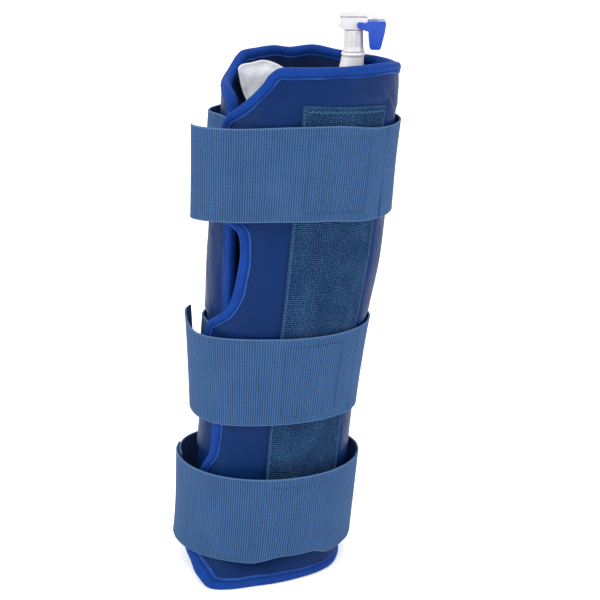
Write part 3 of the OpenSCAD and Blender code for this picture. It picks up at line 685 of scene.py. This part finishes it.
def puff_in(a, z):
    """How far the inner face lies inwards, thicker where the bladder is."""
    flap = a < SIDE_ANGLE
    u = np.where(flap, (a - free_edge(z)) / (SIDE_ANGLE - free_edge(z)),
                 (back_edge(z) - a) / (back_edge(z) - SIDE_ANGLE))
    bladder = (ease((u - np.where(flap, .24, .08)) / .12) * ease((.92 - u) / .14)
               * ease((z - 26) / 26) * ease((SLEEVE_H - 30 - z) / 22))
    s = a * MM_PER_DEG
    return (EDGE_T + (BLADDER_T + LAYER_GAP) * bladder * (1 + 0.06 * waves(s, z, 60, 60, 8))
            + 0.5 * ease(edge_distance(a, z) / 20) * waves(s + 77, z, 50, 80, 9))


PANEL_ROWS = np.concatenate([np.linspace(1.2, 40, 26)[:-1], np.linspace(40, 390, 176)[:-1],
                             np.linspace(390, SLEEVE_H - 1.2, 27)])
EDGE_INSET = 1.3                  # degrees from the outline to the panel's first column
FLAP_COLS, SIDE_COLS, BACK_COLS = 92, 66, 34


def front_angles(z):
    return np.concatenate([np.linspace(free_edge(z) + EDGE_INSET, SIDE_ANGLE, FLAP_COLS),
                           np.linspace(SIDE_ANGLE, SPLIT, SIDE_COLS)[1:]])


def back_angles(z):
    return np.linspace(SPLIT, back_edge(z) - EDGE_INSET, BACK_COLS)[::-1]


def panel(name, row_angles):
    """A closed padded sheet; row_angles gives each height's angles."""
    outer, inner, uv = [], [], []
    for z in PANEL_ROWS:
        a = row_angles(z)
        heights = np.full_like(a, z)
        outer.append(sleeve_point(a, heights, puff_out(a, heights)))
        inner.append(sleeve_point(a, heights, -puff_in(a, heights)))
        uv.append(np.stack([a * MM_PER_DEG, heights], -1))
    outer, inner, uv = np.array(outer), np.array(inner), np.array(uv)
    first = outer[:, :1] * .5 + inner[:, :1] * .5
    last = outer[:, -1:] * .5 + inner[:, -1:] * .5
    rings = np.concatenate([outer, last, inner[:, ::-1], first], 1)
    uvs = np.concatenate([uv, uv[:, -1:], uv[:, ::-1], uv[:, :1]], 1)
    m = outer.shape[1]
    n, k = rings.shape[:2]
    corners = np.array([[m - 1, m, m + 1], [0, 2 * m + 1, 2 * m]])
    faces = [ring_faces(n, k), *end_quads(n, k, m, 2 * m),
             corners[:, ::-1], corners + (n - 1) * k]
    strips = [0] * m + [1] * m + [0, 0]      # shell outside, liner inside
    material_index = np.concatenate([np.tile(strips, n - 1), np.zeros(2 * (m - 1) + 4, int)])
    return build_mesh(name, rings.reshape(-1, 3), faces, uvs.reshape(-1, 2),
                      [NYLON, LINER], material_index)


front = panel("sleeve_panel", front_angles)
back = panel("back_panel_side", back_angles)


# ---------------------------------------------------------------- edge binding
def binding_profile():
    """The folded tape: (distance in from the edge, offset outwards), outer face first."""
    outer = [(8.1, -.1), (8.25, .35), (8.05, .85), (7.6, 1.05), (7.1, 1.0), (6.7, .72),
             (6.3, .6), (5.9, .72), (5.4, 1.05), (4.6, 1.35), (3.6, 1.55), (2.5, 1.6),
             (1.4, 1.5), (.4, 1.15), (-.5, .5), (-1.05, -.4), (-1.35, -1.6)]
    inner = [(u, -EDGE_T - t) for (u, t) in outer[::-1]]
    p = np.array(outer + [(-1.4, -EDGE_T / 2)] + inner)
    p[:, 0] += TAPE_EXTRA * ease((p[:, 0] - 1.4) / 3.6)
    return p


BINDING_PROFILE = binding_profile()
GROOVE_IN, GROOVE_OUT = 6.3 + TAPE_EXTRA, .62


def inward(path, side):
    """Unit step into the sheet as (degrees, mm); side: 1 if it lies left of the path, else -1."""
    d = np.gradient(path, axis=0)
    d[:, 0] *= MM_PER_DEG
    length = np.hypot(d[:, 0], d[:, 1])
    steps = [side * (-d[:, 1] / length) / MM_PER_DEG, side * d[:, 0] / length]
    return np.stack([np.convolve(np.pad(c, 2, mode="edge"), np.ones(5) / 5, "valid")
                     for c in steps], -1)


def binding(name, path, side):
    steps = np.hypot(np.diff(path[:, 0]) * MM_PER_DEG, np.diff(path[:, 1]))
    path, s = resample(path, steps, 1.4)
    for _ in range(3):
        path[1:-1] = path[1:-1] * .5 + (path[:-2] + path[2:]) * .25
    into = inward(path, side)
    depth, out = BINDING_PROFILE.T
    rings, uv = [], []
    for i in range(len(path)):
        wobble = 1 + 0.035 * math.sin(s[i] / 9) + 0.025 * math.sin(s[i] / 3.7 + 1)
        u = depth * wobble
        pucker = 0.16 * math.sin(s[i] * TURN / 8.3 + 1.2 * math.sin(s[i] / 17))
        t = out + pucker * (out > .3) * ease((depth - 1) / 4)
        z = np.clip(path[i, 1] + into[i, 1] * u, -.25, SLEEVE_H + .4)
        rings.append(sleeve_point(path[i, 0] + into[i, 0] * u, z, t))
        uv.append(np.stack([np.full(len(u), s[i]), depth], -1))
    tape = sweep(name, rings, uv, BINDING, flip=side < 0)
    groove = sleeve_point(path[:, 0] + into[:, 0] * GROOVE_IN,
                          path[:, 1] + into[:, 1] * GROOVE_IN, GROOVE_OUT)
    starts, ends, _ = stitch_ends(groove, step=2.9, gap=.7)
    seam = stitches(name + "_stitching", starts, ends, outward(starts, ends),
                    THREAD_BINDING, radius=.3, lift=.18)
    return tape, seam


def bound_edge(edge, turn_in, count):
    """Path of a binding: along the foot from the split, up the edge and back along the mouth."""
    low, high = 1.0, SLEEVE_H - 1.0
    z = np.arange(low, SLEEVE_H - .9, 1.0)
    foot = np.stack([np.linspace(SPLIT, edge(low) + turn_in, count), np.full(count, low)], -1)
    mouth = np.stack([np.linspace(edge(high) + turn_in, SPLIT, count),
                      np.full(count, high)], -1)
    return np.concatenate([foot, np.stack([edge(z), z], -1), mouth])


front_tape, front_seam = binding("sleeve_binding", bound_edge(free_edge, 2, 200), side=-1)
back_tape, back_seam = binding("back_panel_binding", bound_edge(back_edge, -2, 40), side=1)

# ---------------------------------------------------------------- straps
# Plans, as (angle, offset outwards) at the strap's middle height. Rows past a run's end only
# steer its curve. Base and free band meet at JOIN_ANGLE.
JOIN_ANGLE = 57
UPPER_PATH = [
    [304, 1.95], [294, 1.95], [286, 2.5], [280, 5.6], [271, 9.2], [261, 8.4], [248, 4.8],
    [232, 2.4], [212, 2], [190, 2], [168, 2], [146, 2], [124, 2.3], [108, 3.2], [96, 4.2],
    [84, 4.6], [70, 4.9], [57, 5], [42, 5], [28, 5], [14, 5], [2, 5.4], [-10, 6.2],
    [-22, 9.4], [-33, 15], [-43, 21.6], [-50, 26.6], [-55, 29.4], [-59, 30.5],
    [-62.5, 29.4], [-66, 25.4], [-70, 20.6], [-76, 17], [-84, 16]]
MIDDLE_PATH = [
    [304, 1.9], [292, 1.95], [281, 2.0], [271, 3.5], [260, 3.3], [248, 2.5], [232, 2.1],
    [212, 2], [190, 2], [168, 2], [146, 2], [124, 2.2], [108, 2.4], [96, 2.8], [84, 3.4],
    [70, 4.4], [57, 5], [42, 5], [28, 5], [14, 5], [2, 5.4], [-10, 6.6], [-22, 9.6],
    [-34, 13.8], [-45, 16.6], [-56, 16.8], [-67, 15.4], [-78, 13.8], [-87, 12.6], [-94, 9.8]]
LOWER_BASE_PATH = [
    [283, 13.8], [276, 13.9], [270, 13.9], [262, 14.1], [252, 13.8], [240, 11.4], [226, 7.4],
    [210, 3.6], [192, 2.1], [172, 2.1], [152, 3], [134, 5], [118, 7], [105, 8.2], [96, 8.8],
    [84, 9.4], [70, 10.4], [57, 11.4]]
LOWER_FREE_PATH = LOWER_BASE_PATH[-4:] + [
    [42, 12.8], [28, 14.2], [14, 15.4], [0, 16.4], [-14, 17], [-28, 17.4], [-42, 17.6],
    [-56, 17.4], [-70, 16.9], [-82, 16.6], [-90, 16.3], [-98, 16.0]]

# How a strap hangs: share of the tube's taper it takes up; sideways lean at -X as a share of
# the tube's; rise at -X; rise at +X; share of the half width the rise fades over; drop at +X.
Hang = namedtuple("Hang", "taper lean rise_left rise_right fade drop")
LOWER_HANG = Hang(1, .45, 0, 0, 1, 0)
# A stretch of strap between two rows of its plan.
Run = namedtuple("Run", "path height start end hang")


def row_at(path, angle):
    return [row[0] for row in path].index(angle)


def base_run(path, height, hang):
    return Run(path, height, 0, row_at(path, JOIN_ANGLE), hang)


def free_run(path, height, end, hang):
    return Run(path, height, row_at(path, JOIN_ANGLE), end, hang)


BASE_RUNS = {
    "upper": base_run(UPPER_PATH, UPPER_Z, Hang(1, 1, 5, 3.7, 1.9, 4.5)),
    "middle": base_run(MIDDLE_PATH, MIDDLE_Z, Hang(1, 1, 4, 3.5, 1.9, 0)),
    "lower": base_run(LOWER_BASE_PATH, LOWER_Z, LOWER_HANG)}
FREE_RUNS = {
    "upper": free_run(UPPER_PATH, UPPER_Z, 30, Hang(0, .27, 1.8, 3.7, .95, 4.5)),
    "middle": free_run(MIDDLE_PATH, MIDDLE_Z, 29, Hang(1, .1, 1.5, 3.5, 1.9, 0)),
    "lower": free_run(LOWER_FREE_PATH, LOWER_Z, 15, LOWER_HANG)}
PATCH_RUNS = {name: run._replace(start=run.start + 1, end=run.start + 4)
              for name, run in FREE_RUNS.items()}
BASE_SEAM_ROWS = {"upper": 8, "middle": 7, "lower": 7}
SEAM_LOW, SEAM_HIGH = -30.5, 29.7            # from the strap's middle height


# Extra height of a free band: s along it, w up from its middle, start and end of its run.
def upper_shift(s, w, start, end):
    return -4.5 * ease((s - end + 8) / 8) ** 2 * ease((w - 12) / 24)


def middle_shift(s, w, start, end):
    return 9 * ease((s - end + 52) / 52) * ease((w + 30) / 60)


def lower_shift(s, w, start, end):
    return (5.6 * ease((s - (start + 14)) / 20) * ease(((start + 88) - s) / 30)
            * ease((-w - 4) / 32))


SHIFTS = {"upper": upper_shift, "middle": middle_shift, "lower": lower_shift}


def hang_points(run, plan_point, normal, depth, z):
    """Places on a strap, depth being inwards from its plan."""
    hang, middle = run.hang, run.height
    qx, qy = plan_point.T
    nx, ny = normal.T
    k = 1 + hang.taper * (half_width(z) / half_width(middle) - 1)
    u = qx / half_width(middle)
    lean = hang.lean + (1 - hang.lean) * ease((u + 1) / 1.6)
    rise = (hang.rise_right - hang.rise_left) * ease((u + .95) / hang.fade)
    x = k * qx + nx * depth + centre_x(middle) + (centre_x(z) - centre_x(middle)) * lean
    return np.stack([x, k * qy + ny * depth,
                     z + hang.rise_left + rise - hang.drop * ease((u - .3) / .6)], -1)


def plan_points(run):
    rows = np.array(run.path, float)
    p = tube_point(rows[:, 0], run.height, rows[:, 1])
    return np.stack([p[:, 0] - centre_x(run.height), p[:, 1]], -1)


def spline(q, start, end, per_row):
    """Catmull-Rom curve through the plan from row start to row end."""
    out = []
    last = len(q) - 1
    for i in range(start, end):
        p0, p1, p2, p3 = q[max(0, i - 1)], q[i], q[min(last, i + 1)], q[min(last, i + 2)]
        for j in range(per_row):
            t = j / per_row
            out.append(.5 * (2 * p1 + (p2 - p0) * t + (2 * p0 - 5 * p1 + 4 * p2 - p3) * t * t
                             + (3 * p1 - p0 - 3 * p2 + p3) * t ** 3))
    out.append(q[end])
    return np.array(out)


def trace(run, per_row, step):
    """A run's evenly spaced plan points, their distances and the inward normals."""
    q = spline(plan_points(run), run.start, run.end, per_row)
    q, s = resample(q, np.linalg.norm(np.diff(q, axis=0), axis=1), step)
    d = np.gradient(q, axis=0)
    d = d / np.linalg.norm(d, axis=1, keepdims=True)
    return q, s, np.stack([d[:, 1], -d[:, 0]], -1)


def webbing_profile(width, t):
    """Closed outline across the webbing: (height from the middle, depth), outside first."""
    h = width / 2
    heights = np.concatenate([[-h + .35, -h + 1.2, -h + 1.9],
                              np.linspace(-h + 3.5, h - 3.5, 22),
                              [h - 1.9, h - 1.2, h - .35]])
    face = [(x, t / 2 + (.12 if abs(x) > h - 1.6 else 0)) for x in heights]
    outside = [(x, -depth) for x, depth in face]
    top = [(h - .05, -t * .34), (h + .12, 0), (h - .05, t * .34)]
    bottom = [(-x, -depth) for x, depth in top]
    return np.array(outside + top + face[::-1] + bottom)


WEBBING_PROFILE = webbing_profile(STRAP_W, STRAP_T - .3)


def band(name, run, before=0.0, shift=None):
    """A webbing band. before: length of strap ahead of it. Gives its own length too."""
    q, s, normals = trace(run, per_row=16, step=1.5)
    w, t = WEBBING_PROFILE.T
    rings, uv = [], []
    for i in range(len(q)):
        at = s[i] + before
        up = 0.35 * math.sin(at / 23 + run.height) * (w / (STRAP_W / 2))
        if shift:
            up = up + shift(at, w, before, before + s[-1])
        bow = 0.18 * np.sin(at / 31 + w / 19 + run.height)
        rings.append(hang_points(run, q[i], normals[i], t + bow, run.height + w + up))
        uv.append(np.stack([np.full(len(w), at), w + STRAP_W / 2], -1))
    return sweep(name, rings, uv, WEBBING), s[-1]


def hook_patch(name, run):
    """Hook tape on the inner face of a free band."""
    q, s, normals = trace(run, per_row=12, step=1.6)
    w = np.linspace(-STRAP_W / 2 + 5, STRAP_W / 2 - 5, 42)
    near, far = STRAP_T / 2 + .1, STRAP_T / 2 + 1.0
    hooks = [(x, far + .14 * ((j % 2) - .5)) for j, x in enumerate(w[::-1])]
    profile = np.array([(x, near) for x in w] + [(w[-1] + .2, (near + far) / 2)]
                       + hooks + [(w[0] - .2, (near + far) / 2)])
    height, depth = profile.T
    rings, uv = [], []
    for i in range(len(q)):
        t = depth + .07 * ((i % 2) - .5) * (depth > 1.6)
        rings.append(hang_points(run, q[i], normals[i], t, run.height + height))
        uv.append(np.stack([np.full(len(t), s[i]), height + 40], -1))
    return sweep(name, rings, uv, HOOK)


def strap_seam(name, run, heights=(SEAM_LOW, SEAM_HIGH), cross=True):
    """Stitches outside the webbing: along it at each height, and across it at both ends."""
    q, _, inwards = trace(run, per_row=12, step=1.0)
    depth = -STRAP_T / 2 - .02
    n = len(q)
    starts, ends, normals = [], [], []

    def sew(points):
        a, b, middles = stitch_ends(points, step=3.0, gap=.7)
        starts.append(a)
        ends.append(b)
        return middles

    for w in heights:
        middles = sew(hang_points(run, q, inwards, depth, run.height + np.full(n, w)))
        flat = interp_rows(middles, np.linspace(0, 1, n), -inwards)
        normals.append(np.column_stack([flat, np.zeros(len(middles))]))
    if cross:
        for i in (0, n - 1):
            w = np.linspace(min(heights), max(heights), 60)
            middles = sew(hang_points(run, q[i], inwards[i], depth, run.height + w))
            normals.append(np.tile([-inwards[i, 0], -inwards[i, 1], 0], (len(middles), 1)))
    return stitches(name, np.vstack(starts), np.vstack(ends), np.vstack(normals),
                    THREAD_WEB, radius=.2, lift=.1)


base_bands, free_bands = {}, {}
for name, run in BASE_RUNS.items():
    base_bands[name], base_length = band(name + "_strap_base_band", run)
    free_bands[name], _ = band(name + "_strap_band", FREE_RUNS[name], base_length, SHIFTS[name])
hook_patches = {name: hook_patch(name + "_hook_tape", run) for name, run in PATCH_RUNS.items()}
strap_seams = {
    "upper": strap_seam("upper_strap_seam", PATCH_RUNS["upper"]),
    "middle": strap_seam("middle_strap_seam", PATCH_RUNS["middle"]),
    "lower": strap_seam("lower_strap_seam", PATCH_RUNS["lower"], (SEAM_HIGH,), cross=False)}
base_seams = [strap_seam(name + "_base_seam", BASE_RUNS[name]._replace(start=row, end=row + 3))
              for name, row in BASE_SEAM_ROWS.items()]


# ---------------------------------------------------------------- landing strip
def strip_height(a, z):
    """The strip's heights, its top end tilted."""
    tilt = 1.8 - 4.2 * (a - STRIP_A0) / (STRIP_A1 - STRIP_A0)
    return z + tilt * ease((z - 330) / 70)


def landing_strip():
    a, z = np.meshgrid(np.linspace(STRIP_A0, STRIP_A1, 72), np.linspace(STRIP_Z0, STRIP_Z1, 330))
    s = a * MM_PER_DEG
    d = np.minimum(np.minimum((a - STRIP_A0) * MM_PER_DEG, (STRIP_A1 - a) * MM_PER_DEG),
                   np.minimum(z - STRIP_Z0, STRIP_Z1 - z))
    border = 1 - ease((d - 2.6) / 1.2)
    pile = (.30 * np.abs(np.sin(s * np.pi / 2.1 + .6 * np.sin(z / 5)))
            + .24 * np.abs(np.sin(z * np.pi / 2.6 + .5 * np.sin(s / 4)))
            + .07 * RNG.normal(size=a.shape))
    out = 1.35 + (1 - border) * pile + border * .25 + .12 * waves(s, z, 40, 60, 8)
    out = np.where(d < .05, 1.0, out)
    top = strip_height(a, z)
    return thin_sheet("landing_strip", sleeve_point(a, top, out), sleeve_point(a, top, .35),
                      np.stack([s, z], -1), LOOP)


def strip_stitching():
    starts, ends = [], []

    def line(a, z):
        a0, a1, _ = stitch_ends(sleeve_point(a, strip_height(a, z), 1.7), step=2.9, gap=.6)
        starts.append(a0)
        ends.append(a1)

    inset = 2.0 / MM_PER_DEG
    for a in (STRIP_A0 + inset, STRIP_A1 - inset):
        line(np.full(300, a), np.linspace(STRIP_Z0 + 2, STRIP_Z1 - 2, 300))
    line(np.linspace(STRIP_A0 + inset, STRIP_A1 - inset, 60), np.full(60, STRIP_Z0 + 2.2))
    for middle in (STRIP_Z1 - 4.6, STRIP_Z0 + 6):      # zigzags
        a = np.arange(STRIP_A0 + 3, STRIP_A1 - 2, 1.9 / MM_PER_DEG)
        z = middle + np.where(np.arange(len(a)) % 2 == 0, 1.0, -1.0)
        p = sleeve_point(a, strip_height(a, z), 2.0)
        starts.append(p[:-1])
        ends.append(p[1:])
    starts, ends = np.vstack(starts), np.vstack(ends)
    return stitches("landing_strip_seam", starts, ends, outward(starts, ends), THREAD_LIGHT,
                    radius=.3, lift=.22)


strip = landing_strip()
strip_seam = strip_stitching()


# ---------------------------------------------------------------- bladder lobe in the mouth
LOBE_ANGLE, LOBE_Z0, LOBE_Z1 = 224, 384, 421


def bladder_lobe():
    u, v = np.meshgrid(np.linspace(-1, 1, 60), np.linspace(0, 1, 34))
    a = (LOBE_ANGLE + np.where(u < 0, 33, 34) * u
         - np.where(u > 0, 26 * u * (1 - v) * (1 - .3 * v), 0))
    top = LOBE_Z1 - 8 * ease((-u + .05) / .9) - 3 * np.abs(u) ** 6 - .5 * np.sin(u * 5)
    z = LOBE_Z0 + (top - LOBE_Z0) * v
    edge = np.minimum((1 - np.abs(u)) * 35, (1 - v) * (top - LOBE_Z0))
    weld = ease(edge / 3.5)
    thick = .5 + 1.6 * ease((edge - 3.0) / 7)
    middle = -10.3 - .9 * waves(a * MM_PER_DEG, z, 38, 30, 8) * weld * .5
    outer = tube_point(a, z, middle + thick / 2)
    inner = tube_point(a, z, middle - thick / 2 - .5 * ease((edge - 3) / 9))
    return thin_sheet("bladder_lobe", outer, inner, np.stack([a * MM_PER_DEG, z], -1), FILM)


lobe = bladder_lobe()

# ---------------------------------------------------------------- valve
BODY_OF = {n: b for b, ns in frame["record"]["behaviour"]["bodies"].items() for n in ns}


def moulded(node, voxel, material):
    """A CAD part rebuilt with softened edges; voxel in metres."""
    me = frame["nodes"][node].data.copy()
    o = bpy.data.objects.new(node + "_form", me)
    bpy.context.scene.collection.objects.link(o)
    bm = bmesh.new()
    bm.from_mesh(me)
    bmesh.ops.remove_doubles(bm, verts=bm.verts, dist=1e-6)
    bm.to_mesh(me)
    bm.free()
    remesh = o.modifiers.new("r", "REMESH")
    remesh.mode = "VOXEL"
    remesh.voxel_size = voxel
    remesh.use_smooth_shade = True
    soften = o.modifiers.new("s", "SMOOTH")
    soften.factor = .5
    soften.iterations = 5
    depsgraph = bpy.context.evaluated_depsgraph_get()
    depsgraph.update()
    form = bpy.data.meshes.new_from_object(o.evaluated_get(depsgraph))
    o.modifiers.clear()
    o.data = form
    form.name = node + "_form"
    form.materials.clear()
    form.materials.append(material)
    form.polygons.foreach_set("use_smooth", np.ones(len(form.polygons), bool))
    for k in [a.name for a in form.attributes if a.name == "custom_normal"]:
        form.attributes.remove(form.attributes[k])
    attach(o, BODY_OF[node])
    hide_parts(node)


for node, voxel in (("valve_head", .0003), ("valve_cap", .0003), ("valve_body", .00032),
                    ("collar_nut", .0003), ("spout_skirt", .0004), ("spout_elbow", .0004),
                    ("hose_spigot", .00025)):
    moulded(node, voxel, WHITE)
moulded("trigger_lever", .00028, BLUE)
for node, material in (("cap_screws", STEEL), ("trigger_pin", BLUE), ("valve_spring", STEEL),
                       ("valve_stem", WHITE), ("stem_o_ring", RUBBER)):
    slots = frame["nodes"][node].data.materials
    slots.clear()
    slots.append(material)

# ---------------------------------------------------------------- CAD pieces replaced
for side, part in (("front", front), ("back", back)):
    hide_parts(side + "_outer_shell", side + "_foam_pad", side + "_bladder",
                side + "_inner_liner")
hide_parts("bladder_lobe")
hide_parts("front_edge_binding")
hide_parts("back_edge_binding")
for parts, pieces in ((base_bands, ("_strap_base", "_strap_bridge")), (free_bands, ("_strap",)),
                      (hook_patches, ("_hook_patch",)), (strap_seams, ("_strap_stitching",))):
    for name, part in parts.items():
        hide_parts(*(name + piece for piece in pieces))
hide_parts("strap_base_stitching")
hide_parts("loop_landing_strip")
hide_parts("landing_strip_stitching")

# ---------------------------------------------------------------- what moves with what
for o in (front, front_tape, front_seam):
    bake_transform(o, "root", "front_flap", start=(.08, MIDDLE_Y * MM + .009, .2),
             end=(.08, MIDDLE_Y * MM - .009, .2))
for o in (back, back_tape, back_seam, lobe, *base_seams):
    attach(o, "root")
for name, o in base_bands.items():
    height = BASE_RUNS[name].height
    side_x = float(centre_x(height)) + float(half_width(height))
    hinge = Vector((side_x * MM, MIDDLE_Y * MM, height * MM))
    reach = Vector((.006, -.006, 0))
    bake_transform(o, "root", "front_flap", start=hinge - reach, end=hinge + reach)
for name, o in free_bands.items():
    run = FREE_RUNS[name]
    q = plan_points(run)
    tangent = q[run.start + 1] - q[run.start - 1]
    tangent /= np.linalg.norm(tangent)
    start, end = (((p[0] + float(centre_x(run.height))) * MM, (p[1] + MIDDLE_Y) * MM,
                   run.height * MM)
                  for p in (q[run.start] + tangent * .3, q[run.start] + tangent * 9))
    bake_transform(o, "front_flap", name + "_strap_end", start=start, end=end)
for o in (strip, strip_seam):
    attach(o, "front_flap")
for name in FREE_RUNS:
    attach(hook_patches[name], name + "_strap_end")
    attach(strap_seams[name], name + "_strap_end")


# ---------------------------------------------------------------- stage, in metres
def floor_material():
    m = Shader("floor_pale")
    cloud = m.noise(m.obj(), scale=3.0)
    return m.finish(Base_Color=m.mix(cloud, (.93, .93, .95, 1), (.95, .95, .965, 1)),
                    Roughness=.9, Specular_IOR_Level=.1, Emission_Color=(1, 1, 1, 1),
                    Emission_Strength=.3)


def floor():
    """A floor that curves up into a wall at +Y."""
    bend_y, bend_r = 1.4, 1.2
    bend = np.linspace(.1, math.pi / 2, 12)
    y = np.concatenate([np.linspace(-2.5, bend_y, 14), bend_y + bend_r * np.sin(bend),
                        np.full(8, bend_y + bend_r)])
    z = np.concatenate([np.zeros(14), bend_r - bend_r * np.cos(bend), np.linspace(1.4, 4, 8)])
    x = np.linspace(-4, 4, 9)
    grid_x, grid_y = np.meshgrid(x, y)
    n, m = grid_x.shape
    i, j = np.meshgrid(np.arange(n - 1), np.arange(m - 1), indexing="ij")
    a = i * m + j
    quads = np.stack([a, a + 1, a + m + 1, a + m], -1).reshape(-1, 4)
    grid_z = np.repeat(z[:, None], m, 1) + min(0.0, CAD_BOX[0][2]) - .0004
    verts = np.stack([grid_x, grid_y, grid_z], -1).reshape(-1, 3) / MM
    return build_mesh("floor", verts, [quads], None, [floor_material()])


floor()

# the world looks brighter to the camera than it lights
WORLD_LIGHT, WORLD_SEEN = .67, 1.02
world = bpy.data.worlds.new("w")
bpy.context.scene.world = world
world.use_nodes = True
nodes, links = world.node_tree.nodes, world.node_tree.links
background = nodes["Background"]
background.inputs[0].default_value = (1, 1, 1, 1)
background.inputs[1].default_value = WORLD_LIGHT
light_path = nodes.new("ShaderNodeLightPath")
strength = nodes.new("ShaderNodeMapRange")
strength.inputs["To Min"].default_value = WORLD_LIGHT
strength.inputs["To Max"].default_value = WORLD_SEEN
links.new(light_path.outputs["Is Camera Ray"], strength.inputs["Value"])
links.new(strength.outputs["Result"], background.inputs[1])

STAGE_Y = MIDDLE_Y * MM
LIGHT_TARGET = (.03, STAGE_Y, .22)


def area(name, place, size, power, colour=(1, 1, 1), size_y=None):
    light = bpy.data.lights.new(name, "AREA")
    light.energy = power
    light.size = size
    light.color = colour
    if size_y:
        light.shape = "RECTANGLE"
        light.size_y = size_y
    o = bpy.data.objects.new(name, light)
    o.location = place
    o.rotation_mode = "QUATERNION"
    aim = Vector(LIGHT_TARGET) - Vector(place)
    o.rotation_quaternion = aim.to_track_quat("-Z", "Y")
    bpy.context.scene.collection.objects.link(o)


area("key_left", place=(-1.25, STAGE_Y - .85, .95), size=.9, power=15.2,
     colour=(1, .99, .98), size_y=1.3)
area("key_right", place=(1.35, STAGE_Y - .6, .8), size=.8, power=11.2,
     colour=(.98, .99, 1), size_y=1.3)
area("top", place=(.05, STAGE_Y + .1, 1.9), size=1.4, power=16)
area("front", place=(-.2, STAGE_Y - 1.9, 1.5), size=1.2, power=6.4)

CAMERA_TILT = 17.3                # degrees below level
camera = bpy.data.objects.new("camera", bpy.data.cameras.new("camera"))
bpy.context.scene.collection.objects.link(camera)
camera.data.lens = 95.5
camera.data.sensor_width = 36
camera.data.clip_start = .05
camera.data.clip_end = 50
camera.location = (.034, STAGE_Y - 1.270, .622)
camera.rotation_euler = ((90 - CAMERA_TILT) * RADIANS, 0, 0)
bpy.context.scene.camera = camera
bpy.context.scene.view_settings.view_transform = "Standard"
bpy.context.scene.view_settings.look = "None"
